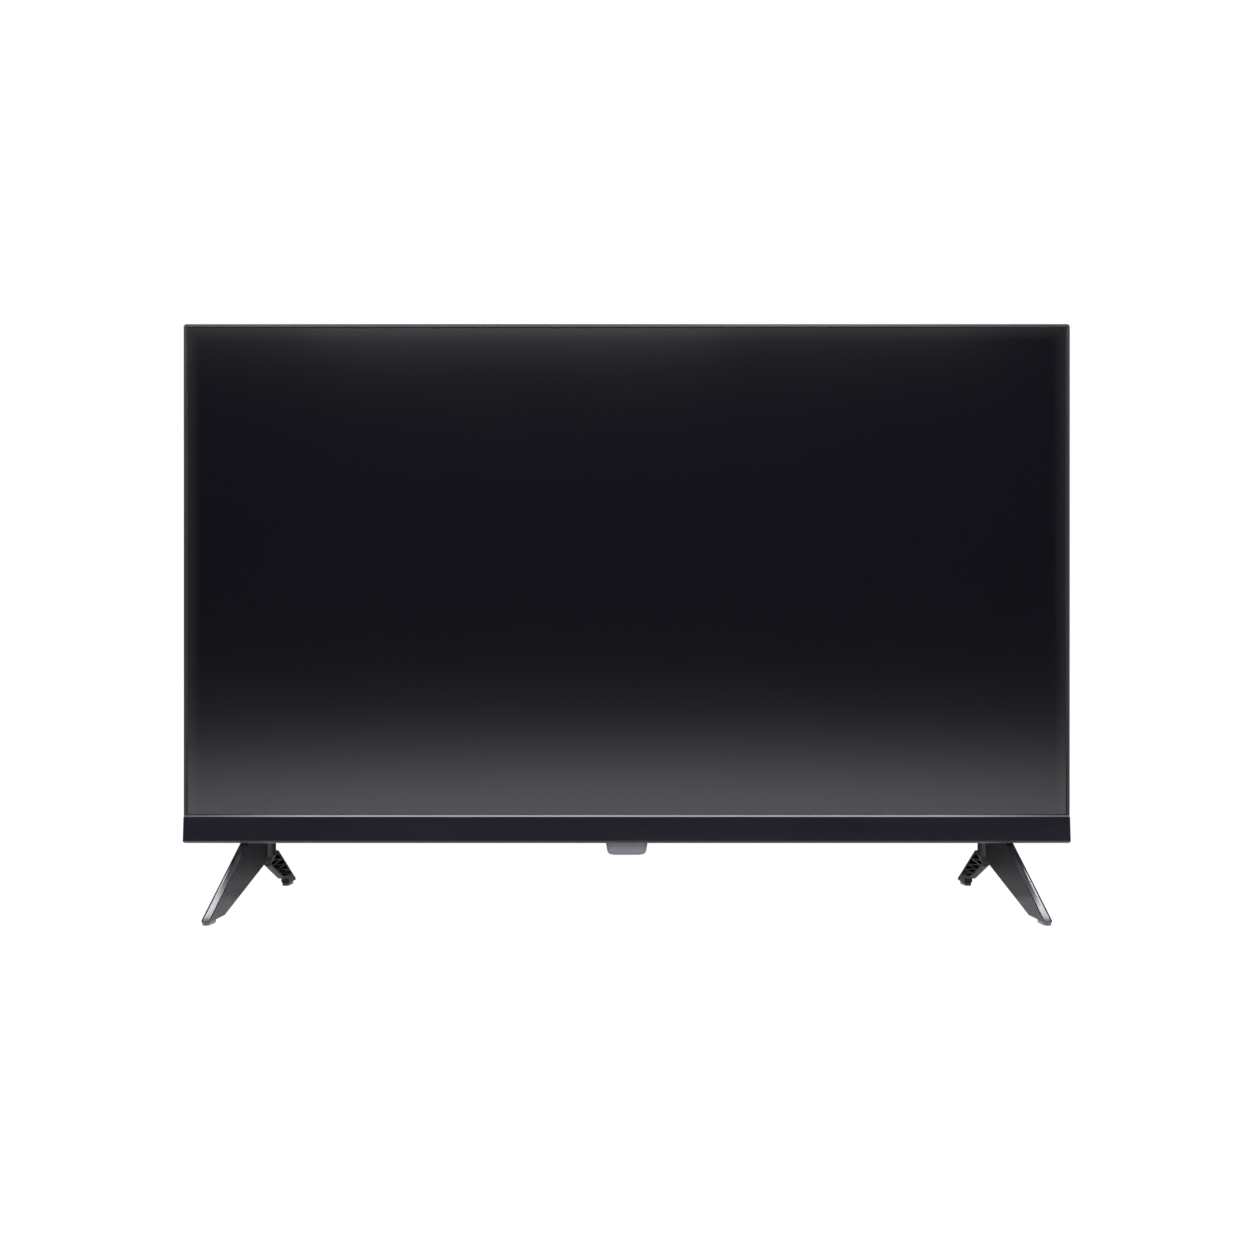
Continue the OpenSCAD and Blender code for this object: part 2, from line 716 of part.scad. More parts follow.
// Leads from the speakers along the cover to a plug on the main board
lead_x = speaker_x - lead_in;
lead_y = board_back + lead_set;
lead_z = board_z + board_h + lead_rise;
module speaker_leads() color([0.15, 0.15, 0.15]) cabinet() {
    plug_x = main_x[1] - 20;
    plug_z = lead_z - lead_drop;
    for (x = [-lead_x, lead_x]) {
        rod_z(x, lead_y, speaker_z + speaker_h, lead_z, lead_r, $fn = 16);
        translate([x, lead_y, lead_z]) sphere(lead_r, $fn = 16);
    }
    translate([-lead_x, lead_y, lead_z]) rotate([0, 90, 0]) cylinder(r = lead_r, h = 2 * lead_x, $fn = 16);
    rod_z(plug_x, lead_y, plug_z, lead_z, lead_r, $fn = 16);
    block([plug_x - lead_plug[0] / 2, board_back, plug_z - lead_plug[1]],
        [plug_x + lead_plug[0] / 2, lead_y + lead_in, plug_z + eps]);
}

// Middle of the power key and of the light guide, from the trim face
function key_y() = window_y + window_d / 2;
guide_w = 7;
guide_d = 3.4;
function guide_y() = window_y + window_wall + guide_d / 2 + 0.6;

// Outline of the receiver window, drawn in by a wall
window_corner = 4;
window_draft = 1;
module window_face(inset) {
    hw = window_w / 2 - inset;
    low = window_h - inset;
    r = window_corner;
    x = hw - window_draft - r;
    polygon([
        [-hw, 0], [hw, 0],
        for (a = [0 : 15 : 90]) [x + r * cos(a), -low + r - r * sin(a)],
        for (a = [90 : 15 : 180]) [-x + r * cos(a), -low + r - r * sin(a)]
    ]);
}

// Smoked window that hangs under the trim: a cup open below, with a light guide up to the receiver
key_hole = window_w / 2 - window_wall - window_corner;
module receiver_window() color([0.4, 0.4, 0.42]) cabinet() {
    guide_h = wall + 5;
    difference() {
        slab(window_y, window_y + window_d) window_face(0);
        slab(window_y + window_wall, window_y + window_d - window_wall) {
            difference() {
                window_face(window_wall);
                rect(window_w, -window_wall, cut);
            }
            rect(key_hole, -window_h - cut, -window_wall - eps);
        }
        rod_z(0, key_y(), -window_h, cut, key_stem_r + 1);
    }
    translate([eye_x, guide_y(), -eps]) linear_extrude(guide_h) square([guide_w, guide_d], center = true);
}

// Small board behind the trim for the receiver and the key
module receiver_board() color([0.08, 0.3, 0.17]) cabinet()
    block([-20, receiver_y, wall], [20, receiver_y + receiver_t, ledge_z + 2.5]);

// Infrared receiver behind the light guide
module receiver_eye() color([0.05, 0.04, 0.05]) cabinet() {
    eye = [6, 3.4, 5];
    z0 = wall + 1.6;
    block([eye_x - eye[0] / 2, receiver_y - eye[1], z0], [eye_x + eye[0] / 2, receiver_y, z0 + eye[2]]);
}

// Push switch over the key's stem
module key_switch() color([0.12, 0.12, 0.13]) cabinet() {
    hw = 2.9;
    roof = 0.8;
    top = switch_z + stem_bite + key_travel + key_gap;
    difference() {
        block([-hw, key_y() - hw, switch_z], [hw, receiver_y, top + roof]);
        rod_z(0, key_y(), switch_z - cut, top, key_stem_r + key_stem_fit);
    }
}

// Power key in the floor of the window, with its stem up to the switch
module power_key() color([0.11, 0.11, 0.12]) cabinet() {
    hw = key_hole - key_gap;
    y0 = window_y + window_wall + key_gap;
    y1 = window_y + window_d - window_wall - key_gap;
    low = -window_h - key_out;
    high = low + key_cap_h;
    block([-hw, y0, low], [hw, y1, high]);
    rod_z(0, key_y(), high - eps, switch_z + stem_bite, key_stem_r);
}

// Stations of the cover's two blocks, grown inwards by a wall
module slim_block(i, y0) hull() {
    station(y0, half_w - cover_step - i, i, body_h - cover_step - i, corner_r);
    station(slim_d - i, half_w - slope_in - i / 2, i, body_h - slope_in - i / 2, corner_r);
}

module housing_block(i, y0) hull() {
    r = 5;
    station(y0, housing_hw + housing_lean - i, i, housing_h + 1.4 * housing_lean - i, r);
    station(body_d - heel_set - i, housing_hw + 4 - i, i, housing_h - i, r);
    station(body_d - i, housing_hw - i, heel_rise, housing_h - i, r);
}

// Solid form of the rear cover, from the frame to the back
module cover_form() {
    slim_block(0, frame_d + eps);
    housing_block(0, frame_d + 8);
}

// Space of a bay and the walls round it
module bay_space(x, grow) block([x[0] - grow, bay_y - grow, -cut], [x[1] + grow, body_d + cut, bay_h + grow]);

// Leg frame: first axis back along the leg, second outwards from its inner side, third up from the floor
module leg_frame() translate([-leg_x, front_y, 0]) rotate([0, 0, -leg_toe])
    mirror([1, 0, 0]) rotate([0, 0, 90]) mirror([0, 1, 0]) children();

// Peg of a leg and the hole that takes it
module leg_peg(grow, top) block([peg_y[0] - grow, peg_set - grow, ground_gap - cut],
    [peg_y[1] + grow, leg_t - peg_set + grow, ground_gap + top]);

// A rod on the axis of a leg's screw
module leg_rod(z0, z1, r) rod_z(boss_y, boss_in, z0, z1, r);

// A row of slots through the floor, along X
module floor_slots(x0, x1, y0, y1) for (x = [x0 : slot_pitch * 0.75 : x1])
    block([x - slot_w / 2, y0, -cut], [x + slot_w / 2, y1, wall + cut]);

// Rectangular holes in the bay ceiling, one for each socket
module socket_holes() {
    ports = concat(
        [[network_x, network_size], [usb_x, usb_size], [inlet_x, inlet_size]],
        [for (x = video_x) [x, video_size]], [for (x = jack_x) [x, jack_size]]
    );
    for (p = ports) block([p[0] - p[1][0] / 2 - hole_fit, socket_y - hole_fit, bay_h - cut],
        [p[0] + p[1][0] / 2 + hole_fit, socket_y + p[1][1] + hole_fit, bay_h + wall + cut]);
    rod_z(tuner_x, barrel_y, bay_h - cut, bay_h + wall + cut, barrel_r + hole_fit);
}

// Where a cover screw's head rests: close behind the back plate
head_seat = plate_back + well_floor;

// Rear cover: moulded shell with its bays, screw columns, leg pockets and vents
module rear_cover() color([0.1, 0.1, 0.11]) {
    vent_z = housing_h - vent_drop - slot_len;
    grille_in = 5;
    difference() {
        union() {
            cabinet() difference() {
                cover_form();
                slim_block(wall, frame_d - cut);
                housing_block(wall, frame_d + 6);
            }
            intersection() {
                cabinet() cover_form();
                union() {
                    cabinet() for (b = [port_bay, power_bay]) bay_space(b, wall);
                    cabinet() for (s = cover_screws) rod_y(s[0], s[1], plate_back, body_d, well_r + wall);
                    both_sides() leg_frame() {
                        leg_peg(peg_gap + wall, peg_h + peg_gap + wall);
                        leg_rod(ground_gap, ground_gap + leg_screw_bite + wall, leg_screw_r + 1.5 * wall);
                    }
                }
            }
        }
        cabinet() {
            for (b = [port_bay, power_bay]) bay_space(b, 0);
            socket_holes();
            for (s = cover_screws) {
                rod_y(s[0], s[1], head_seat, body_d + cut, well_r);
                rod_y(s[0], s[1], plate_back - cut, body_d, screw_r + 0.3);
            }
            for (x = [-vesa / 2, vesa / 2], z = [vesa_z - vesa / 2, vesa_z + vesa / 2])
                rod_y(x, z, body_d - 2 * wall, body_d + cut, post_nose + 0.2);
            both_sides() for (x = [vent_from : slot_pitch : housing_hw - vent_in])
                block([x - slot_w / 2, body_d - wall - cut, vent_z],
                    [x + slot_w / 2, body_d + cut, vent_z + slot_len]);
            both_sides() floor_slots(
                speaker_x - speaker_w / 2 + 1, speaker_x + speaker_w / 2 - 1,
                speaker_y + grille_in, speaker_y + speaker_d - grille_in
            );
            floor_slots(mid_vent[0][0], mid_vent[1][0], mid_vent[0][1], mid_vent[1][1]);
        }
        both_sides() leg_frame() {
            leg_peg(peg_gap, peg_h + peg_gap);
            leg_rod(ground_gap - cut, ground_gap + leg_screw_bite, leg_screw_r);
        }
    }
}

// Screws of the rear cover, driven into the back plate
module rear_screws() color([0.3, 0.3, 0.31]) cabinet() for (s = cover_screws) {
    slot = 0.7;
    tip = plate_t - 0.1;
    difference() {
        union() {
            rod_y(s[0], s[1], head_seat, head_seat + screw_head_t, screw_head_r);
            rod_y(s[0], s[1], plate_back - tip, head_seat + eps, screw_r - screw_fit);
        }
        for (a = [0, 90]) translate([s[0], head_seat + screw_head_t, s[1]]) rotate([0, a, 0])
            cube([screw_head_r * 1.3, 2, slot], center = true);
    }
}

// Posts from the back plate to the wall mount holes
module wall_mount_posts() color([0.7, 0.7, 0.7]) cabinet()
    for (x = [-vesa / 2, vesa / 2], z = [vesa_z - vesa / 2, vesa_z + vesa / 2]) difference() {
        union() {
            rod_y(x, z, plate_back, body_d - wall, post_r);
            rod_y(x, z, body_d - wall - eps, body_d, post_nose);
        }
        rod_y(x, z, body_d - vesa_depth, body_d + cut, vesa_r);
    }

// Plate of a leg from its side outline: a narrow radius on its inner edges, a wide one on its outer edges
module leg_plate(outline) hull() {
    for (a = [-90 : 30 : 0])
        leg_layer(outline, leg_lip * (1 + sin(a)), leg_lip * (1 - cos(a)));
    for (a = [0 : 22.5 : 90])
        leg_layer(outline, leg_t - leg_edge * (1 - sin(a)), leg_edge * (1 - cos(a)));
}

// Thin layer of a leg at one depth, drawn in from its outline
module leg_layer(outline, depth, inset)
    translate([0, depth, 0]) rotate([90, 0, 0]) linear_extrude(eps) offset(delta = -inset) polygon(outline);

// Lower and upper edge of the rear prong, from the neck to the heel
heel_z = pad_t + 1.5;
instep = 26;
prong_under = [[crotch_y, crotch_z], [leg_rear - instep, pad_t + 5.8]];
prong_back = [[neck_y[1] + 11, crotch_z + 5.2], [leg_rear, heel_z]];
prong_len = norm(prong_under[1] - prong_under[0]);
function along(edge, t) = edge[0] + (edge[1] - edge[0]) * t;
function across(t, s) = along(prong_under, t) * (1 - s) + along(prong_back, t) * s;

// Pockets between the ribs of the rear prong, open on its inner side
module rib_pockets() {
    stops = [0.05, 0.27, 0.48, 0.68, 0.86];
    skin = 1.7;
    rim = 0.14;
    half = rib_t / 2 / prong_len;
    lean = 2 * rim;
    translate([0, leg_t - skin, 0]) rotate([90, 0, 0]) linear_extrude(leg_t - skin + cut)
        for (i = [0 : len(stops) - 2]) {
            a = stops[i] + half;
            b = stops[i + 1] - half;
            polygon([across(a, rim), across(b, rim), across(b, 1 - lean)]);
            polygon([across(a, lean), across(b - 2 * half, 1 - rim), across(a, 1 - rim)]);
        }
}

// One leg: blade-like front prong, round screw boss at the neck, peg, and a ribbed rear prong with its foot
module leg() {
    shin = [-leg_front + 4.5, pad_t + 3.5];
    brow = [neck_y[0], ground_gap];
    blade = [
        brow + (brow - shin) * 0.1, shin, [-leg_front, pad_t], [-leg_front + sole_front, pad_t],
        prong_under[0], [neck_y[1], crotch_z + 6.6], [neck_y[1], ground_gap + leg_edge]
    ];
    shank = [prong_under[0], prong_under[1], prong_back[1], prong_back[0], [boss_y + 2, crotch_z + 8.6]];
    foot = [
        [leg_rear - sole_rear, pad_t], [leg_rear - 0.5, pad_t], prong_back[1], [leg_rear - 4, pad_t + 5],
        [leg_rear - sole_rear, pad_t + 5]
    ];
    boss_foot = crotch_z + 4;
    difference() {
        union() {
            difference() {
                leg_plate(blade);
                block([-leg_front, -leg_t, ground_gap], [leg_rear, 2 * leg_t, 2 * ground_gap]);
            }
            leg_plate(shank);
            leg_plate(foot);
            leg_rod(boss_foot, ground_gap, boss_r);
            translate([boss_y, boss_in, boss_foot - boss_r])
                cylinder(r1 = boss_r / 2, r2 = boss_r, h = boss_r + eps);
            leg_peg(0, peg_h);
        }
        rib_pockets();
        leg_rod(pad_t, leg_screw_seat, leg_screw_head_r + head_gap);
        leg_rod(pad_t, ground_gap + cut, leg_screw_r + head_gap);
    }
}

module leg_left() color([0.2, 0.2, 0.22]) leg_frame() leg();

module leg_right() color([0.2, 0.2, 0.22]) mirror([1, 0, 0]) leg_frame() leg();

// Screws that hold the legs, driven up from below
module leg_screws() color([0.3, 0.3, 0.31]) both_sides() leg_frame() {
    leg_rod(leg_screw_seat - leg_screw_head_t, leg_screw_seat, leg_screw_head_r);
    leg_rod(leg_screw_seat - eps, ground_gap + leg_screw_bite - head_gap, leg_screw_r - screw_fit);
}

// Rubber pads under the four feet
module foot_pads() color([0.35, 0.35, 0.36]) both_sides() leg_frame() {
    w = leg_t - 1.5;
    toe = 2;
    front_len = sole_front - 7 * toe;
    rear_len = sole_rear - 1.5 * toe;
    translate([-leg_front + toe + front_len / 2, leg_t / 2, 0]) linear_extrude(pad_t) pill(front_len, w);
    translate([leg_rear - toe - rear_len / 2, leg_t / 2, 0]) linear_extrude(pad_t) pill(rear_len, w);
}

screen_frame();
lower_trim();
bright_strip();
lcd_panel();
panel_tape();
middle_frame();
prism_film();
diffuser_film();
diffuser_plate();
reflector_sheet();
light_bars();
light_lenses();
back_plate();
source_board();
flex_ribbons();
display_cable();
main_board();
main_chips();
heat_sink();
tuner_can();
antenna_socket();
network_socket();
video_sockets();
usb_socket();
audio_jacks();
radio_module();
power_board();
transformer();
capacitors();
power_inlet();
inlet_pins();
power_harness();
speaker_left();
speaker_right();
speaker_gaskets();
cone_left();
cone_right();
speaker_leads();
receiver_window();
receiver_board();
receiver_eye();
key_switch();
power_key();
rear_cover();
rear_screws();
wall_mount_posts();
leg_left();
leg_right();
leg_screws();
foot_pads();
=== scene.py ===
"""Flat screen television on two splayed legs: finishes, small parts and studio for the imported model."""

import json
import math

import bmesh
import bpy
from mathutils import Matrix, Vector

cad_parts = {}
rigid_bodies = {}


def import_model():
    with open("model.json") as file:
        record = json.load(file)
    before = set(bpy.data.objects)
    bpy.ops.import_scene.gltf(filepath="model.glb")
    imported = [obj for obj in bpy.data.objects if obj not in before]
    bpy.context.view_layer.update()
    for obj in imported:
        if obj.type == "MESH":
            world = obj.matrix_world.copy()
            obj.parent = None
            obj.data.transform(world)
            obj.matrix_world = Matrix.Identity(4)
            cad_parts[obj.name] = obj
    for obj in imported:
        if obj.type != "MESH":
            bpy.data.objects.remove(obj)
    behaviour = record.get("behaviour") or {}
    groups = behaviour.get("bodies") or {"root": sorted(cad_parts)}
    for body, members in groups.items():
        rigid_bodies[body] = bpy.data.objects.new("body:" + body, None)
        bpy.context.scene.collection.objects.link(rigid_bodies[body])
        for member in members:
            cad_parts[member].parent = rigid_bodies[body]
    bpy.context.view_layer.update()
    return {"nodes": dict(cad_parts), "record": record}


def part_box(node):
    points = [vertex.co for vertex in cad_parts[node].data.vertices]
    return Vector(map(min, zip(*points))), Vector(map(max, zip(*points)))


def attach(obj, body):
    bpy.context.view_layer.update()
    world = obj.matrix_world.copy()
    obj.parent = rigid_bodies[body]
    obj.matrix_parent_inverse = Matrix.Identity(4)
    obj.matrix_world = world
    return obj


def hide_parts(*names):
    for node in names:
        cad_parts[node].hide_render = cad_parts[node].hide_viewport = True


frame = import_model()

MM = 0.001
WELD = 0.005 * MM
FLAT = math.radians(0.6)
CREASE = math.radians(28)
SOFT_TURN = math.radians(50)

record = frame["record"]
slot_of = {part["node"]: part["material_slot"] for part in record["subparts"]}
body_of = {node: body for body, nodes in record["behaviour"]["bodies"].items() for node in nodes}


class Wire:
    """An output socket that can stand in an expression; each operator adds a Math node."""

    def __init__(self, graph, socket):
        self.graph = graph
        self.socket = socket

    def of(self, name):
        return Wire(self.graph, self.socket.node.outputs[name])

    def math(self, operation, *terms):
        inputs = dict(enumerate(terms))
        return self.graph.node("ShaderNodeMath", {"operation": operation}, inputs)

    def __add__(self, other):
        return self.math("ADD", self, other)

    def __sub__(self, other):
        return self.math("SUBTRACT", self, other)

    def __rsub__(self, other):
        return self.math("SUBTRACT", other, self)

    def __mul__(self, other):
        return self.math("MULTIPLY", self, other)

    def __truediv__(self, other):
        return self.math("DIVIDE", self, other)

    def __rtruediv__(self, other):
        return self.math("DIVIDE", other, self)

    def __pow__(self, other):
        return self.math("POWER", self, other)

    def __neg__(self):
        return self.math("MULTIPLY", self, -1)

    def __abs__(self):
        return self.math("ABSOLUTE", self)

    def sine(self):
        return self.math("SINE", self)

    def least(self, other):
        return self.math("MINIMUM", self, other)

    def ramp(self, low, high):
        """0 below low, 1 above high, smooth between."""
        settings = {"interpolation_type": "SMOOTHSTEP"}
        return self.graph.node("ShaderNodeMapRange", settings, {0: self, 1: low, 2: high})

    __radd__ = __add__
    __rmul__ = __mul__


class Graph:
    """A node tree whose nodes are all made by one method."""

    def __init__(self, tree):
        self.tree = tree

    def node(self, kind, settings=None, inputs=None, out=0):
        made = self.tree.nodes.new(kind)
        for name, value in (settings or {}).items():
            setattr(made, name, value)
        for key, value in (inputs or {}).items():
            self.feed(made.inputs[key], value)
        return Wire(self, made.outputs[out]) if made.outputs else made

    def feed(self, socket, value):
        if socket.is_multi_input:
            for wire in value:
                self.tree.links.new(wire.socket, socket)
        elif isinstance(value, Wire):
            self.tree.links.new(value.socket, socket)
        else:
            socket.default_value = value

    def split(self, place):
        parts = self.node("ShaderNodeSeparateXYZ", None, {0: place})
        return parts.of("X"), parts.of("Y"), parts.of("Z")

    def vector(self, x, y, z):
        return self.node("ShaderNodeCombineXYZ", None, {0: x, 1: y, 2: z})


class Finish(Graph):
    """A material with one principled surface, drawn in object coordinates."""

    def __init__(self, name):
        self.material = bpy.data.materials.new(name)
        self.material.use_nodes = True
        super().__init__(self.material.node_tree)
        self.tree.nodes.clear()
        self.place = self.node("ShaderNodeTexCoord", out="Object")

    def axes(self):
        return self.split(self.place)

    def stretched(self, scale):
        return self.node("ShaderNodeMapping", None, {"Vector": self.place, "Scale": scale})

    def noise(self, size, detail=2.0, place=None, rough=0.5):
        """Noise from 0 to 1 whose lumps are about size metres wide."""
        inputs = {"Vector": place or self.place, "Scale": 1 / size, "Detail": detail, "Roughness": rough}
        return self.node("ShaderNodeTexNoise", None, inputs)

    def cells(self, size, feature="F1"):
        """Distances in a field of cells about size metres wide."""
        settings = {"feature": feature}
        return self.node("ShaderNodeTexVoronoi", settings, {"Vector": self.place, "Scale": 1 / size})

    def blend(self, share, first, second):
        """The first colour where share is 0, the second where it is 1."""
        inputs = {0: share, 6: opaque(first), 7: opaque(second)}
        return self.node("ShaderNodeMix", {"data_type": "RGBA"}, inputs, out=2)

    def tint(self, colour, share, amount):
        """A colour that is darker where share is 0 and lighter where it is 1."""
        return self.blend(share, [c * (1 - amount) for c in colour], [c * (1 + amount) for c in colour])

    def bump(self, height, depth):
        return self.node("ShaderNodeBump", None, {"Height": height, "Distance": depth, "Strength": 1.0})

    def surface(self, inputs):
        """Closes the material with these inputs of its surface."""
        shader = self.node("ShaderNodeBsdfPrincipled", None, inputs)
        self.node("ShaderNodeOutputMaterial", None, {"Surface": shader})
        return self.material


def opaque(colour):
    return colour if isinstance(colour, Wire) else (*colour[:3], 1.0)


# Families of finishes


def moulding(name, colour, roughness, grain, depth, shine=0.5):
    """Moulded plastic with the fine grain of its tool and faint patches of handling."""
    f = Finish(name)
    fine = f.noise(grain, 3)
    patch = f.noise(60 * MM, 4)
    return f.surface({
        "Base Color": f.tint(colour, patch, 0.18),
        "Roughness": roughness + 0.1 * (patch - 0.5) + 0.08 * (fine - 0.5),
        "Specular IOR Level": shine,
        "Normal": f.bump(fine, depth),
    })


def sheet_metal(name, colour, roughness, streak):
    """Metal with drawn streaks; streak holds the lengths of a streak along each axis."""
    f = Finish(name)
    drawn = f.noise(1.0, 3, f.stretched([1 / s for s in streak]))
    cloud = f.noise(25 * MM, 3)
    return f.surface({
        "Base Color": f.tint(colour, drawn * 0.6 + cloud * 0.4, 0.2),
        "Metallic": 1.0,
        "Roughness": roughness + 0.22 * (drawn - 0.5) + 0.1 * (cloud - 0.5),
        "Normal": f.bump(drawn, 0.01 * MM),
    })


def printed_board(name, mask, copper):
    """Board with traces under its mask and solder on its pads."""
    f = Finish(name)
    trace = 1 - f.cells(5 * MM, "DISTANCE_TO_EDGE").ramp(0.04, 0.07)
    pads = 1 - f.cells(2.4 * MM).ramp(0.16, 0.2)
    traced = f.blend(trace * 0.7, mask, copper)
    return f.surface({
        "Base Color": f.blend(pads, traced, (0.55, 0.55, 0.52)),
        "Metallic": pads * 0.9,
        "Roughness": 0.34 + 0.1 * f.noise(3 * MM),
        "Normal": f.bump(trace + pads, 0.04 * MM),
    })


def soft_rubber(name, colour, grain):
    """Rubber or foam with open pores and a dusty bloom."""
    f = Finish(name)
    pores = f.cells(grain)
    bloom = f.noise(9 * MM, 4)
    return f.surface({
        "Base Color": f.tint(colour, bloom, 0.3),
        "Roughness": 0.72 + 0.2 * (bloom - 0.5),
        "Specular IOR Level": 0.3,
        "Normal": f.bump(pores, 0.12 * MM),
    })


def thin_film(name, colour, groove, sheen):
    """White or clear plastic sheet with fine parallel grooves."""
    f = Finish(name)
    height = f.axes()[2]
    ridges = (height * (2 * math.pi / groove)).sine() * 0.5 + 0.5
    return f.surface({
        "Base Color": f.tint(colour, f.noise(30 * MM), 0.03),
        "Roughness": sheen + 0.1 * ridges,
        "Normal": f.bump(ridges, 0.03 * MM),
    })


def sleeved(name, colour, roughness, size):
    """Shrunk or taped plastic skin with small wrinkles."""
    f = Finish(name)
    wrinkle = f.noise(size, 5, rough=0.6)
    return f.surface({
        "Base Color": f.tint(colour, wrinkle, 0.2),
        "Roughness": roughness + 0.15 * (wrinkle - 0.5),
        "Normal": f.bump(wrinkle, 0.08 * MM),
    })


# Finishes that the picture shows

GLASS_MARGIN = 11 * MM
# Height, depths and start along the half width of the painted highlight on the trim's lower edge
PAINTED_HIGHLIGHT_HEIGHT = 1.6 * MM
PAINTED_HIGHLIGHT_DEPTHS = (2.5 * MM, 4 * MM)
PAINTED_HIGHLIGHT_FROM = 0.4
# Share of the strip's half width where its painted shade towards the ends begins
SHADED_END_FROM = 0.7
STRIP_STREAK = (60 * MM, 0.35 * MM, 0.35 * MM)
# Widths from the sides, then height from the bottom, over which the window's colour darkens
WINDOW_DARK_SIDE = (3.2 * MM, 0.4 * MM)
WINDOW_DARK_FOOT = 2.2 * MM
RUB_HEIGHTS = (2 * MM, 14 * MM)


def screen_glass(name):
    """Dark display behind an anti-glare face, a little paler in the margin beside the frame."""
    f = Finish(name)
    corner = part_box("lcd_panel")[1]
    x, y, z = f.axes()
    edge = (corner.x - abs(x)).least(corner.z - z)
    margin = 1 - edge.ramp(0.0, GLASS_MARGIN)
    sparkle = f.noise(0.35 * MM, 2)
    haze = f.noise(120 * MM, 3)
    return f.surface({
        "Base Color": f.blend(margin, (0.0022, 0.0020, 0.0034), (0.0080, 0.0080, 0.0090)),
        "Roughness": 0.14 + 0.03 * (sparkle - 0.5) + 0.03 * (haze - 0.5),
        "Specular IOR Level": 0.5,
        "Normal": f.bump(sparkle, 0.002 * MM),
    })


def trim_gloss(name):
    """Piano black with faint wiping marks, slight moulding waves and a painted highlight that makes its
    lower edge paler.
    """
    f = Finish(name)
    low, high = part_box("lower_trim")
    x, y, z = f.axes()
    # Painted highlight: base colour paler along the lower front edge, most towards its ends
    below = 1 - z.ramp(low.z, low.z + PAINTED_HIGHLIGHT_HEIGHT)
    ahead = 1 - y.ramp(*(low.y + depth for depth in PAINTED_HIGHLIGHT_DEPTHS))
    edge = below * ahead * (0.4 + 0.6 * abs(x).ramp(high.x * PAINTED_HIGHLIGHT_FROM, high.x))
    wipe = f.noise(1.0, 4, f.stretched((9, 60, 60)))
    black = f.tint((0.0076, 0.0074, 0.0104), wipe, 0.25)
    waves = f.noise(45 * MM, 2)
    dust = f.cells(5 * MM).ramp(0.0, 0.05)
    return f.surface({
        # The pale grey is the painted highlight of the lower edge
        "Base Color": f.blend(edge, black, (0.13, 0.13, 0.136)),
        "Roughness": 0.09 + 0.06 * wipe + 0.1 * (1 - dust),
        "Specular IOR Level": 0.4,
        "Normal": f.bump(waves, 0.05 * MM),
    })


def bright_metal(name):
    """Drawn metal strip with painted shade darkening it towards its ends; its streaks run along it."""
    f = Finish(name)
    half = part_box("bright_strip")[1].x
    # Painted shade: base colour darker towards the strip's ends
    end = abs(f.axes()[0]).ramp(half * SHADED_END_FROM, half)
    drawn = f.noise(1.0, 3, f.stretched([1 / s for s in STRIP_STREAK]))
    return f.surface({
        "Base Color": f.blend(end, f.tint((0.24, 0.24, 0.251), drawn, 0.15), (0.1, 0.1, 0.106)),
        "Metallic": 1.0,
        "Roughness": 0.3 + 0.2 * (drawn - 0.5),
        "Normal": f.bump(drawn, 0.008 * MM),
    })


def frame_satin(name):
    """Satin black of the narrow frame."""
    return moulding(name, (0.0125, 0.0125, 0.014), 0.46, 0.5 * MM, 0.01 * MM, 0.28)


def smoked_window(name):
    """Smoked moulding over the receiver, darker towards its sides and its lower edge."""
    f = Finish(name)
    low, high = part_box("receiver_window")
    x, y, z = f.axes()
    # Colour darker towards the sides and towards the lower edge
    side = abs(x).ramp(*(high.x - wall for wall in WINDOW_DARK_SIDE))
    foot = 1 - z.ramp(low.z, low.z + WINDOW_DARK_FOOT)
    cloud = f.noise(7 * MM, 3)
    body = f.tint((0.105, 0.107, 0.113), cloud, 0.08)
    foot_darkened = f.blend(foot * 0.35, body, (0.04, 0.04, 0.043))
    return f.surface({
        "Base Color": f.blend(side * 0.75, foot_darkened, (0.02, 0.02, 0.022)),
        "Roughness": 0.26 + 0.08 * cloud,
        "Normal": f.bump(f.noise(0.8 * MM, 3), 0.006 * MM),
    })


def leg_satin(name):
    """Semi-gloss black with a light orange-peel face and rub marks near the floor."""
    f = Finish(name)
    peel = f.noise(2.2 * MM, 2)
    patch = f.noise(26 * MM, 4)
    rub = (1 - f.axes()[2].ramp(*RUB_HEIGHTS)) * f.noise(3 * MM, 5).ramp(0.5, 0.75)
    return f.surface({
        "Base Color": f.tint((0.0085, 0.0085, 0.0098), patch, 0.15),
        "Roughness": 0.25 + 0.06 * (patch - 0.5) + 0.08 * rub,
        "Specular IOR Level": 0.38,
        "Normal": f.bump(peel, 0.004 * MM),
    })


def cover_grain(name):
    """Spark-eroded black of the back shell: round grains of two sizes."""
    f = Finish(name)
    grains = f.cells(1.1 * MM) * 0.6 + f.noise(0.6 * MM, 3) * 0.5
    patch = f.noise(140 * MM, 4)
    return f.surface({
        "Base Color": f.tint((0.018, 0.018, 0.0195), patch, 0.2),
        "Roughness": 0.5 + 0.12 * (patch - 0.5) + 0.14 * (grains - 0.5),
        "Specular IOR Level": 0.45,
        "Normal": f.bump(grains, 0.09 * MM),
    })


def lens_clear(name):
    """Clear moulding of the small lenses."""
    f = Finish(name)
    return f.surface({
        "Base Color": f.tint((0.8, 0.84, 0.9), f.noise(4 * MM), 0.05),
        "Roughness": 0.06 + 0.06 * f.noise(2 * MM),
        "Transmission Weight": 0.8,
        "IOR": 1.49,
    })


def cone_paper(name):
    """Pressed paper with visible fibres."""
    f = Finish(name)
    fibre = f.noise(0.9 * MM, 6, rough=0.7)
    return f.surface({
        "Base Color": f.tint((0.045, 0.045, 0.048), fibre, 0.4),
        "Roughness": 0.75 + 0.2 * (fibre - 0.5),
        "Normal": f.bump(fibre, 0.1 * MM),
    })


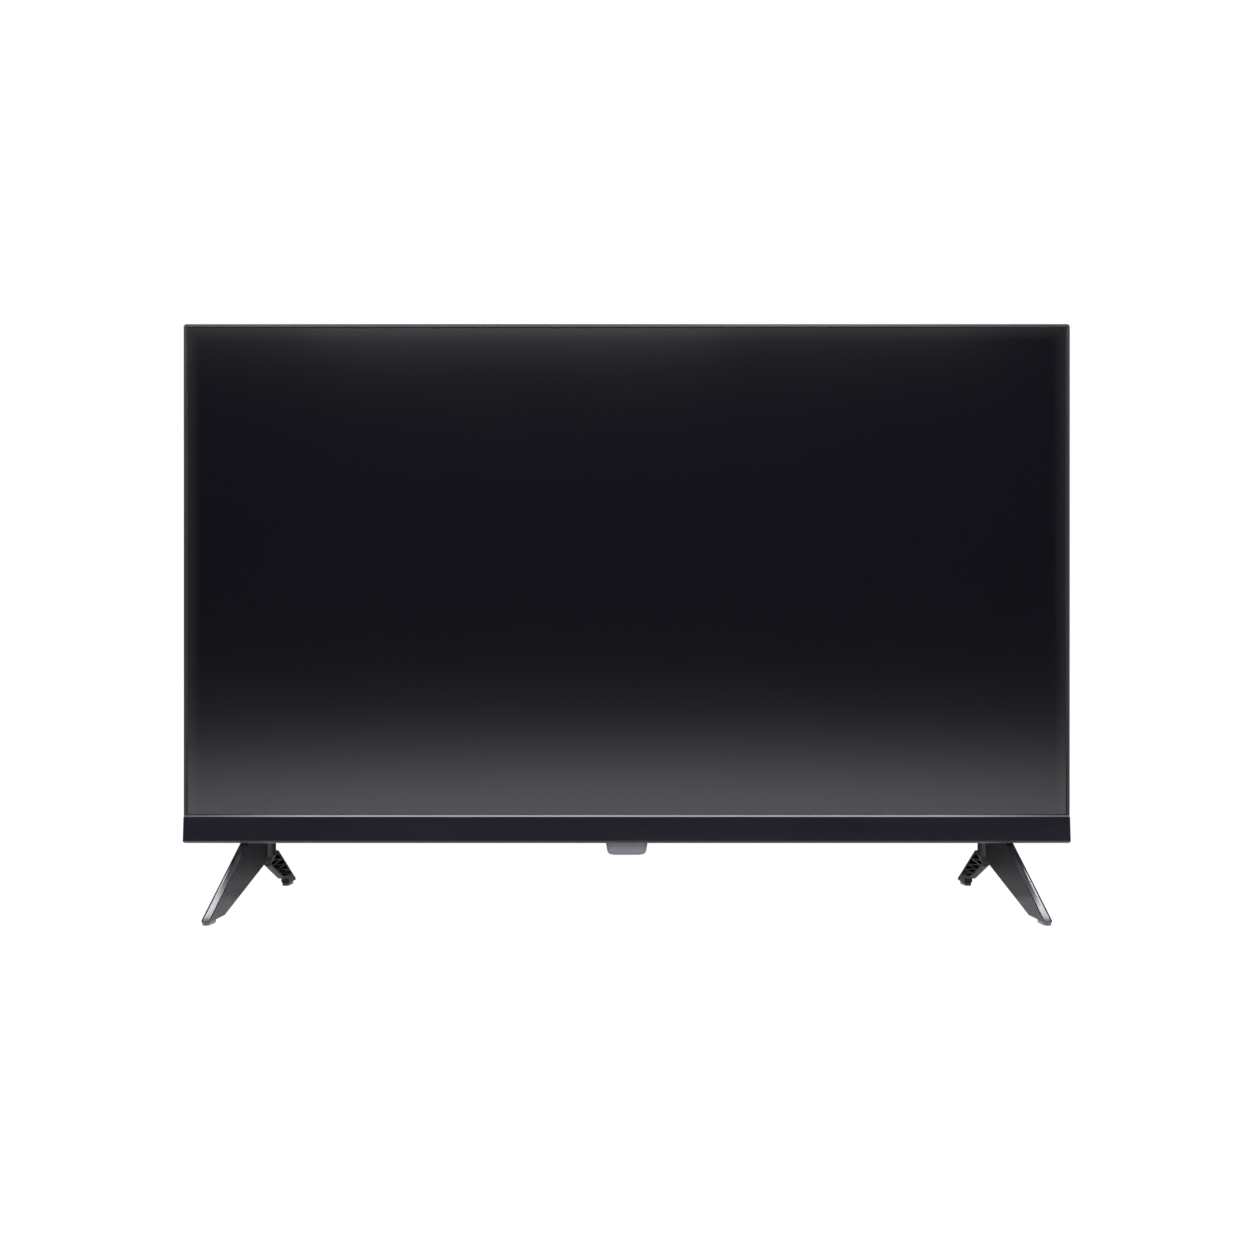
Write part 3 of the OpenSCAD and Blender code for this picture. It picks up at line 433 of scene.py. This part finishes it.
FINISHES = {
    "frame_satin": frame_satin,
    "trim_gloss": trim_gloss,
    "bright_metal": bright_metal,
    "screen_glass": screen_glass,
    "smoked_window": smoked_window,
    "leg_satin": leg_satin,
    "cover_grain": cover_grain,
    "lens_clear": lens_clear,
    "cone_paper": cone_paper,
    "black_foam": lambda n: soft_rubber(n, (0.02, 0.02, 0.021), 0.6 * MM),
    "pad_rubber": lambda n: soft_rubber(n, (0.25, 0.25, 0.26), 0.5 * MM),
    "lead_black": lambda n: soft_rubber(n, (0.025, 0.025, 0.026), 0.4 * MM),
    "clear_film": lambda n: thin_film(n, (0.78, 0.8, 0.84), 0.4 * MM, 0.15),
    "white_film": lambda n: thin_film(n, (0.86, 0.86, 0.86), 0.8 * MM, 0.45),
    "bar_aluminium": lambda n: sheet_metal(n, (0.8, 0.8, 0.79), 0.35, (12 * MM, 0.4 * MM, 0.4 * MM)),
    "sink_aluminium": lambda n: sheet_metal(n, (0.5, 0.5, 0.52), 0.36, (0.4 * MM, 0.4 * MM, 20 * MM)),
    "zinc_steel": lambda n: sheet_metal(n, (0.6, 0.61, 0.62), 0.34, (6 * MM, 6 * MM, 6 * MM)),
    "tin_shield": lambda n: sheet_metal(n, (0.68, 0.68, 0.69), 0.28, (0.5 * MM, 0.5 * MM, 9 * MM)),
    "barrel_brass": lambda n: sheet_metal(n, (0.72, 0.6, 0.36), 0.24, (2 * MM, 2 * MM, 0.3 * MM)),
    "black_screw": lambda n: sheet_metal(n, (0.055, 0.055, 0.06), 0.34, (1.5 * MM, 1.5 * MM, 1.5 * MM)),
    "green_board": lambda n: printed_board(n, (0.012, 0.1, 0.04), (0.05, 0.24, 0.09)),
    "blue_board": lambda n: printed_board(n, (0.015, 0.05, 0.2), (0.05, 0.14, 0.34)),
    "tan_board": lambda n: printed_board(n, (0.42, 0.29, 0.12), (0.5, 0.37, 0.18)),
    "amber_flex": lambda n: sleeved(n, (0.42, 0.21, 0.04), 0.3, 6 * MM),
    "cable_grey": lambda n: thin_film(n, (0.62, 0.62, 0.64), 1.0 * MM, 0.5),
    "chip_black": lambda n: moulding(n, (0.016, 0.016, 0.017), 0.55, 0.3 * MM, 0.02 * MM),
    "socket_black": lambda n: moulding(n, (0.018, 0.018, 0.019), 0.45, 0.4 * MM, 0.015 * MM),
    "speaker_black": lambda n: moulding(n, (0.02, 0.02, 0.021), 0.55, 0.7 * MM, 0.03 * MM),
    "key_satin": lambda n: moulding(n, (0.03, 0.03, 0.033), 0.36, 0.4 * MM, 0.008 * MM),
    "winding_yellow": lambda n: sleeved(n, (0.75, 0.52, 0.06), 0.35, 3 * MM),
    "can_dark": lambda n: sleeved(n, (0.02, 0.022, 0.05), 0.28, 4 * MM),
    "lead_red": lambda n: sleeved(n, (0.45, 0.045, 0.035), 0.42, 2 * MM),
}
finish = {slot: make(slot) for slot, make in FINISHES.items()}


# Pieces


def new_piece(name, mesh, slot, body):
    """A finished mesh in the scene, with its finish, riding on a body."""
    piece = bpy.data.objects.new(name, mesh)
    bpy.context.scene.collection.objects.link(piece)
    piece.data.materials.clear()
    piece.data.materials.append(finish[slot])
    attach(piece, body)
    return piece


def settle(piece):
    """Applies a piece's modifiers to its mesh."""
    graph = bpy.context.evaluated_depsgraph_get()
    mesh = bpy.data.meshes.new_from_object(
        piece.evaluated_get(graph), preserve_all_data_layers=True, depsgraph=graph
    )
    piece.modifiers.clear()
    piece.data = mesh
    return mesh


def joined(node):
    """The mesh of a CAD node with its loose triangles joined to whole faces."""
    bm = bmesh.new()
    bm.from_mesh(frame["nodes"][node].data)
    bmesh.ops.remove_doubles(bm, verts=bm.verts, dist=WELD)
    bmesh.ops.dissolve_limit(bm, angle_limit=FLAT, verts=bm.verts, edges=bm.edges)
    return bm


def solids(node):
    """The lowest and highest corner of each separate solid of a CAD node."""
    bm = joined(node)
    left = set(bm.verts)
    boxes = []
    while left:
        reached = [left.pop()]
        for vert in reached:
            near = {edge.other_vert(vert) for edge in vert.link_edges} & left
            left -= near
            reached.extend(near)
        corners = list(zip(*(vert.co for vert in reached)))
        boxes.append((Vector(map(min, corners)), Vector(map(max, corners))))
    bm.free()
    return sorted(boxes, key=lambda box: tuple(box[0]))


def rounded(mesh, bevel, steps, turn):
    """Rounds the marked edges of a mesh; turns up to an angle are shaded smooth, large faces flat."""
    holder = bpy.data.objects.new("rounding", mesh)
    bpy.context.scene.collection.objects.link(holder)
    edge = holder.modifiers.new("edges", "BEVEL")
    edge.limit_method = "WEIGHT"
    edge.width = bevel
    edge.segments = steps
    edge.use_clamp_overlap = False
    mesh = settle(holder)
    mesh.polygons.foreach_set("use_smooth", [True] * len(mesh.polygons))
    mesh.set_sharp_from_angle(angle=turn)
    normals = holder.modifiers.new("normals", "WEIGHTED_NORMAL")
    normals.keep_sharp = True
    mesh = settle(holder)
    bpy.data.objects.remove(holder)
    return mesh


def crowned(bm, ahead):
    """Gives the largest face that looks ahead a slight crown across its width."""
    facing = [face for face in bm.faces if face.normal.dot(ahead) > NEARLY_AHEAD]
    face = max(facing, key=lambda f: f.calc_area())
    longest = max(face.edges, key=lambda e: e.calc_length())
    along = (longest.verts[1].co - longest.verts[0].co).normalized()
    across = face.normal.cross(along)
    out = face.normal.copy()
    spread = [vert.co.dot(across) for vert in face.verts]
    middle, half = (max(spread) + min(spread)) / 2, (max(spread) - min(spread)) / 2
    part = [face]
    inner = []
    for share in CROWN_LINES:
        around = {thing for f in part for thing in (f, *f.edges, *f.verts)}
        cut = bmesh.ops.bisect_plane(
            bm, geom=list(around), plane_co=across * (middle + half * share), plane_no=across, dist=WELD
        )
        part = [thing for thing in cut["geom"] if isinstance(thing, bmesh.types.BMFace)]
        inner += [thing for thing in cut["geom_cut"] if isinstance(thing, bmesh.types.BMVert)]
    for vert in inner:
        aside = (vert.co.dot(across) - middle) / half
        vert.co += out * CROWN_RISE * (1 - aside ** 2)


def dressed(node, bevel, steps=2, crease=CREASE, turn=SOFT_TURN):
    """A copy of a CAD node with joined faces and round edges, which then stands for the node."""
    bm = joined(node)
    if node in CROWNED:
        crowned(bm, CROWNED[node])
    weight = bm.edges.layers.float.new("bevel_weight_edge")
    for edge in bm.edges:
        sharp = len(edge.link_faces) == 2 and edge.calc_face_angle() > crease
        edge[weight] = float(sharp and edge.calc_length() > SHORTEST_EDGE * bevel)
    mesh = bpy.data.meshes.new(node)
    bm.to_mesh(mesh)
    bm.free()
    mesh = rounded(mesh, bevel, steps, turn)
    piece = new_piece("dressed_" + node, mesh, slot_of[node], body_of[node])
    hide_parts(node)


def shin_ahead(side):
    """The way that the front edge of a leg faces: turned out by its toe, leaning back by its shin."""
    return Vector((side * math.sin(TOE), -math.cos(TOE), math.tan(SHIN))).normalized()


TOE = math.radians(7.6)
SHIN = math.radians(56)
NEARLY_AHEAD = 0.99
CROWN_RISE = 0.1 * MM
CROWN_LINES = (-0.5, 0.0, 0.5)
CROWNED = {"leg_left": shin_ahead(-1), "leg_right": shin_ahead(1)}

# An edge shorter than this many bevels stays sharp
SHORTEST_EDGE = 4.0

# Bevel and its steps, then the least turn of an edge that is rounded and the most that is shaded smooth
DRESSED = {
    "screen_frame": (0.3 * MM, 3),
    "lower_trim": (0.35 * MM, 3, math.radians(60), math.radians(35)),
    "bright_strip": (0.15 * MM, 2),
    "lcd_panel": (0.2 * MM, 2),
    "receiver_window": (0.5 * MM, 3),
    "power_key": (0.3 * MM, 2),
    "rear_cover": (0.5 * MM, 2, math.radians(14)),
    "leg_left": (0.3 * MM, 2, math.radians(35)),
    "leg_right": (0.3 * MM, 2, math.radians(35)),
    "foot_pads": (0.5 * MM, 2),
    "wall_mount_posts": (0.25 * MM, 2),
    "network_socket": (0.15 * MM, 2),
    "video_sockets": (0.15 * MM, 2),
    "usb_socket": (0.15 * MM, 2),
    "audio_jacks": (0.2 * MM, 2),
    "power_inlet": (0.25 * MM, 2),
    "inlet_pins": (0.2 * MM, 2),
    "antenna_socket": (0.15 * MM, 2),
}

for node, thing in frame["nodes"].items():
    for holder in thing.material_slots:
        holder.material = finish[slot_of[node]]
for node, edges in DRESSED.items():
    dressed(node, *edges)


# Repeated small parts

ROUND_SIDES = 32
TURN_STEPS = 24
RIDGE_SIDES = 6
RIDGE_SHARE = 0.3
BEAD_SIDES = 10
SCREW_SEED = 7


class Rule(Graph):
    """A Geometry Nodes tree with named sizes, run on a mesh of places that carry an axis."""

    def __init__(self, name, sizes):
        super().__init__(bpy.data.node_groups.new(name, "GeometryNodeTree"))
        ends = self.tree.interface
        ends.new_socket("Places", in_out="INPUT", socket_type="NodeSocketGeometry")
        self.ids = {}
        for size in sizes:
            socket = ends.new_socket(size, in_out="INPUT", socket_type="NodeSocketFloat")
            self.ids[size] = socket.identifier
        socket = ends.new_socket("Finish", in_out="INPUT", socket_type="NodeSocketMaterial")
        self.ids["Finish"] = socket.identifier
        ends.new_socket("Geometry", in_out="OUTPUT", socket_type="NodeSocketGeometry")
        self.entry = self.node("NodeGroupInput")
        self.sizes = [self.entry.of(size) for size in sizes]

    def moved(self, shape, x, y, z):
        inputs = {"Geometry": shape, "Translation": self.vector(x, y, z)}
        return self.node("GeometryNodeTransform", None, inputs)

    def shaped(self, shape, bend):
        """Moves each point of a shape to where bend puts its coordinates."""
        place = self.node("GeometryNodeInputPosition")
        inputs = {"Geometry": shape, "Position": self.vector(*bend(*self.split(place)))}
        return self.node("GeometryNodeSetPosition", None, inputs)

    def block(self, x, y, z, steps=2):
        inputs = {"Size": self.vector(x, y, z), "Vertices Z": steps}
        return self.node("GeometryNodeMeshCube", None, inputs)

    def drum(self, radius, height, steps):
        inputs = {"Vertices": ROUND_SIDES, "Side Segments": steps, "Radius": radius, "Depth": height}
        return self.node("GeometryNodeMeshCylinder", None, inputs)

    def thread(self, radius, pitch, length):
        """A round ridge that winds up round the vertical axis, starting at height 0."""
        winding = {"Resolution": TURN_STEPS, "Rotations": length / pitch, "Height": length}
        winding.update({"Start Radius": radius, "End Radius": radius})
        path = self.node("GeometryNodeCurveSpiral", None, winding)
        return self.tube(path, pitch * RIDGE_SHARE, RIDGE_SIDES)

    def tube(self, path, radius, sides):
        """A round tube along a path, closed at its ends."""
        section = {"Resolution": sides, "Radius": radius}
        ring = self.node("GeometryNodeCurvePrimitiveCircle", None, section)
        inputs = {"Curve": path, "Profile Curve": ring, "Fill Caps": True}
        return self.node("GeometryNodeCurveToMesh", None, inputs)

    def together(self, *shapes):
        return self.node("GeometryNodeJoinGeometry", None, {"Geometry": shapes})

    def turned(self, seed):
        """Up along the axis of each place, with a turn round it drawn from a fixed seed."""
        settings = {"data_type": "FLOAT_VECTOR"}
        axis = self.node("GeometryNodeInputNamedAttribute", settings, {"Name": "axis"})
        upright = self.node("FunctionNodeAlignRotationToVector", {"axis": "Z"}, {"Vector": axis})
        drawn = self.node("FunctionNodeRandomValue", None, {2: 0.0, 3: 2 * math.pi, "Seed": seed}, out=1)
        spin = self.node("FunctionNodeAxisAngleToRotation", None, {"Axis": (0, 0, 1), "Angle": drawn})
        inputs = {"Rotation": upright, "Rotate By": spin}
        return self.node("FunctionNodeRotateRotation", {"rotation_space": "LOCAL"}, inputs)

    def copies(self, shape, points, turn=None):
        inputs = {"Points": points, "Instance": shape}
        if turn:
            inputs["Rotation"] = turn
        return self.node("GeometryNodeInstanceOnPoints", None, inputs)

    def close(self, shape):
        plain = self.node("GeometryNodeRealizeInstances", None, {"Geometry": shape})
        inputs = {"Geometry": plain, "Material": self.entry.of("Finish")}
        painted = self.node("GeometryNodeSetMaterial", None, inputs)
        self.node("NodeGroupOutput", None, {"Geometry": painted})
        return self


def screw_rule():
    """Domed head with a cross recess over a threaded shank; the place is the top of the head."""
    names = ("Head Radius", "Head Height", "Shank Radius", "Shank Length", "Recess Width", "Pitch")
    r = Rule("cross_head_screw", names)
    head_r, head_h, shank_r, shank_len, recess, pitch = r.sizes
    narrowing, dome_steps = 0.38, 8
    recess_reach, recess_depth = 1.15, 1.1
    thread_sink = 0.15

    def dome(x, y, z):
        shrink = 1 - narrowing * (z / head_h + 0.5) ** 3
        return x * shrink, y * shrink, z

    head = r.shaped(r.drum(head_r, head_h, dome_steps), dome)
    long, deep = head_r * recess_reach, head_h * recess_depth
    sections = (recess, long), (long, recess)
    bars = [r.moved(r.block(*section, deep), 0, 0, head_h / 2) for section in sections]
    inputs = {"Mesh 1": head, "Mesh 2": bars}
    cut = r.node("GeometryNodeMeshBoolean", {"operation": "DIFFERENCE"}, inputs)
    shank = r.moved(r.drum(shank_r, shank_len, 1), 0, 0, (head_h + shank_len) * -0.5)
    winding = r.thread(shank_r - pitch * thread_sink, pitch, shank_len)
    thread = r.moved(winding, 0, 0, -shank_len - head_h / 2)
    screw = r.moved(r.together(cut, shank, thread), 0, 0, head_h / -2)
    return r.close(r.copies(screw, r.entry, r.turned(SCREW_SEED)))


def contact_rule():
    """A row of springy contacts side by side along X, each bowed out in its middle."""
    r = Rule("contact_row", ("Count", "Pitch", "Width", "Thickness", "Length", "Bow"))
    count, pitch, width, thick, length, bow = r.sizes
    bow_steps = 9

    def bowed(x, y, z):
        return x, y + bow * (1 - (2 * z / length) ** 2), z

    spring = r.shaped(r.block(width, thick, length, bow_steps), bowed)
    inputs = {"Count": count, "Start Location": r.vector((1 - count) * pitch / 2, 0, 0)}
    row = r.node("GeometryNodeMeshLine", None, {**inputs, "Offset": r.vector(pitch, 0, 0)})
    return r.close(r.copies(r.copies(spring, row), r.entry))


def thread_rule():
    """A thread whose lower end is at each place."""
    r = Rule("barrel_thread", ("Radius", "Pitch", "Length"))
    return r.close(r.copies(r.thread(*r.sizes), r.entry))


def bead_rule():
    """A round bead that follows a line of places."""
    r = Rule("bead", ("Radius",))
    path = r.node("GeometryNodeMeshToCurve", None, {"Mesh": r.entry})
    return r.close(r.tube(path, r.sizes[0], BEAD_SIDES))


def repeated(name, rule, places, sizes, slot, axis=(0, 0, 1), node=None, links=()):
    """Runs a rule at some places on the cabinet, as one plain piece that may stand for a CAD node."""
    mesh = bpy.data.meshes.new(name)
    mesh.from_pydata(places, links, [])
    axes = mesh.attributes.new("axis", "FLOAT_VECTOR", "POINT")
    axes.data.foreach_set("vector", list(axis) * len(places))
    holder = bpy.data.objects.new(name + "_places", mesh)
    bpy.context.scene.collection.objects.link(holder)
    modifier = holder.modifiers.new("rule", "NODES")
    modifier.node_group = rule.tree
    for size, value in {**sizes, "Finish": finish[slot]}.items():
        modifier[rule.ids[size]] = value
    mesh = settle(holder)
    bpy.data.objects.remove(holder)
    mesh.polygons.foreach_set("use_smooth", [True] * len(mesh.polygons))
    mesh.set_sharp_from_angle(angle=CREASE)
    piece = new_piece(name, mesh, slot, "cabinet")
    if node:
        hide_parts(node)


def screw_sizes(across, length, head_height):
    """Sizes of a screw from its head's width, whole length and head height."""
    return {
        "Head Radius": across / 2,
        "Head Height": head_height,
        "Shank Radius": across * SHANK_SHARE,
        "Shank Length": length - head_height,
        "Recess Width": across * RECESS_SHARE,
        "Pitch": SCREW_PITCH,
    }


SHANK_SHARE = 0.27
RECESS_SHARE = 0.14
SCREW_PITCH = 0.9 * MM
COVER_HEAD = 2.0 * MM
LEG_HEAD = 2.4 * MM

screws = screw_rule()
driven = solids("rear_screws")
low, high = driven[0]
tops = [((a.x + b.x) / 2, b.y, (a.z + b.z) / 2) for a, b in driven]
sizes = screw_sizes(high.x - low.x, high.y - low.y, COVER_HEAD)
repeated("cover_screws", screws, tops, sizes, "black_screw", (0, 1, 0), "rear_screws")

driven = solids("leg_screws")
low, high = driven[0]
tops = [((a.x + b.x) / 2, (a.y + b.y) / 2, a.z) for a, b in driven]
sizes = screw_sizes(high.x - low.x, high.z - low.z, LEG_HEAD)
repeated("leg_fixing_screws", screws, tops, sizes, "black_screw", (0, 0, -1), "leg_screws")

contacts = contact_rule()
CONTACT_RISE = 6 * MM
CONTACT_LENGTH = 8 * MM
CONTACT_THICKNESS = 0.2 * MM

# Count, pitch, width, distance behind the middle of the socket, bow
CONTACTS = {
    "network_socket": (8, 1.02 * MM, 0.45 * MM, -4.2 * MM, 0.5 * MM),
    "video_sockets": (10, 1.0 * MM, 0.4 * MM, 0.62 * MM, 0.0),
    "usb_socket": (4, 2.5 * MM, 1.1 * MM, 0.98 * MM, 0.12 * MM),
}
for node, (count, pitch, width, aside, bow) in CONTACTS.items():
    rows = [((a.x + b.x) / 2, (a.y + b.y) / 2 + aside, a.z + CONTACT_RISE) for a, b in solids(node)]
    sizes = {"Count": count, "Pitch": pitch, "Width": width, "Bow": bow}
    sizes.update({"Thickness": CONTACT_THICKNESS, "Length": CONTACT_LENGTH})
    repeated(node + "_contacts", contacts, rows, sizes, "barrel_brass")

THREAD_START = 0.5 * MM
low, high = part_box("antenna_socket")
foot = ((low.x + high.x) / 2, (low.y + high.y) / 2, low.z + THREAD_START)
sizes = {"Radius": 4.7 * MM, "Pitch": 0.8 * MM, "Length": 4.6 * MM}
repeated("antenna_thread", thread_rule(), [foot], sizes, "barrel_brass")

# Bead round the glass: up one side, over the top and down the other, then along the top of the strip
BEAD_RADIUS = 0.32 * MM
BEAD_ASIDE = 0.25 * MM
BEAD_SINK = 0.15 * MM
low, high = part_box("lcd_panel")
foot_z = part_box("bright_strip")[1].z
reach, top, depth = high.x + BEAD_ASIDE, high.z + BEAD_ASIDE, low.y + BEAD_SINK
path = [(-reach, depth, foot_z), (-reach, depth, top), (reach, depth, top), (reach, depth, foot_z)]
ahead, rest_z = low.y - BEAD_SINK, foot_z + BEAD_ASIDE
path += [(-reach, ahead, rest_z), (reach, ahead, rest_z)]
links = [(0, 1), (1, 2), (2, 3), (4, 5)]
repeated("glass_bead", bead_rule(), path, {"Radius": BEAD_RADIUS}, "black_foam", links=links)


# Studio, in metres

front_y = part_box("lower_trim")[0].y
LAMP_TINT = (0.95, 0.945, 1.0)
FLOOR_PALE = (0.8, 0.8, 0.8)
# Colour of the painted shadow on the floor behind the set
FLOOR_PAINTED_SHADOW = (0.06, 0.06, 0.06)
FLOOR_GLOW = 1.05
AIR_DIM = (0.045, 0.045, 0.05, 1)
WHITE = (1, 1, 1, 1)


def studio_floor():
    """A wide floor, white to the eye with a little shade under the set; behind the set its colour is
    darkened, a painted shadow seen in reflections.
    """
    half = 6.0
    corners = [(-half, -half, 0), (half, -half, 0), (half, half, 0), (-half, half, 0)]
    mesh = bpy.data.meshes.new("floor")
    mesh.from_pydata(corners, [], [range(4)])
    f = Finish("floor_white")
    x, y, z = f.axes()
    far = (x * x + y * y).ramp(0.2, 1.4)
    # Painted shadow: the floor's colour darkens behind the set
    behind = y.ramp(-0.1, 0.2)
    sight = f.node("ShaderNodeLightPath", out="Is Camera Ray")
    tone = f.blend(behind, f.tint(FLOOR_PALE, f.noise(0.4, 2), 0.01), FLOOR_PAINTED_SHADOW)
    diffuse = f.node("ShaderNodeBsdfDiffuse", None, {"Color": tone})
    glow = f.node("ShaderNodeEmission", None, {"Color": WHITE, "Strength": FLOOR_GLOW})
    mixed = f.node("ShaderNodeMixShader", None, {0: sight * (0.95 + 0.05 * far), 1: diffuse, 2: glow})
    f.node("ShaderNodeOutputMaterial", None, {"Surface": mixed})
    mesh.materials.append(f.material)
    floor = bpy.data.objects.new("floor", mesh)
    bpy.context.scene.collection.objects.link(floor)


def studio_air():
    """White behind the set for the eye, dim all round for the reflections."""
    world = bpy.data.worlds.new("studio")
    bpy.context.scene.world = world
    world.use_nodes = True
    air = Graph(world.node_tree)
    air.tree.nodes.clear()
    sight = air.node("ShaderNodeLightPath", out="Is Camera Ray")
    dim = air.node("ShaderNodeBackground", None, {"Color": AIR_DIM, "Strength": 1.0})
    white = air.node("ShaderNodeBackground", None, {"Color": WHITE, "Strength": 1.0})
    mixed = air.node("ShaderNodeMixShader", None, {0: sight, 1: dim, 2: white})
    air.node("ShaderNodeOutputWorld", None, {"Surface": mixed})


def softbox(name, place, aim, size, watts):
    """A soft light that shows in reflections but not to the eye."""
    lamp = bpy.data.lights.new(name, "AREA")
    lamp.shape = "RECTANGLE"
    lamp.size, lamp.size_y = size
    lamp.energy = watts
    lamp.color = LAMP_TINT
    holder = bpy.data.objects.new(name, lamp)
    holder.location = place
    holder.rotation_euler = (Vector(aim) - Vector(place)).to_track_quat("-Z", "Y").to_euler()
    holder.visible_camera = False
    bpy.context.scene.collection.objects.link(holder)


def photo_camera():
    """Level camera in front of the trim, as far off and as high as the photograph shows."""
    photo_px = 1254
    focal_px = 1326.8
    eye_aside = 0.0002
    eye_back = 1.0784
    eye_height = 0.228
    view = bpy.data.cameras.new("photo_camera")
    view.sensor_width = 36
    view.lens = view.sensor_width * focal_px / photo_px
    holder = bpy.data.objects.new("photo_camera", view)
    holder.location = (eye_aside, front_y - eye_back, eye_height)
    holder.rotation_euler = (math.radians(90), 0, 0)
    bpy.context.scene.collection.objects.link(holder)
    bpy.context.scene.camera = holder


studio_floor()
studio_air()
above_y = front_y - 0.5
softbox("overhead", place=(0, above_y, 0.82), aim=(0, above_y, 0), size=(1.3, 0.4), watts=21.5)

# Sideways place, distance ahead of the trim, width and watts of the panels that light the top of the screen
PANELS = {"front_panel": (-0.12, 1.65, 1.72, 3.6), "front_core": (-0.24, 1.64, 0.86, 2.3)}
panel_z, panel_height = 1.29, 0.9
for name, (x, ahead, width, watts) in PANELS.items():
    place, aim = (x, front_y - ahead, panel_z), (x, front_y, panel_z)
    softbox(name, place=place, aim=aim, size=(width, panel_height), watts=watts)
for name, side, watts in (("back_left", -1, 30), ("back_right", 1, 18)):
    softbox(name, place=(0.75 * side, 1.4, 1.15), aim=(0, 0.05, 0.25), size=(1.0, 0.6), watts=watts)
for side in (-1, 1):
    place, aim = (0.88 * side, 0.278, 1.21), (0.31 * side, -0.05, 0.03)
    softbox("leg_light", place=place, aim=aim, size=(0.2, 0.75), watts=12)
photo_camera()
bpy.context.scene.view_settings.view_transform = "Standard"
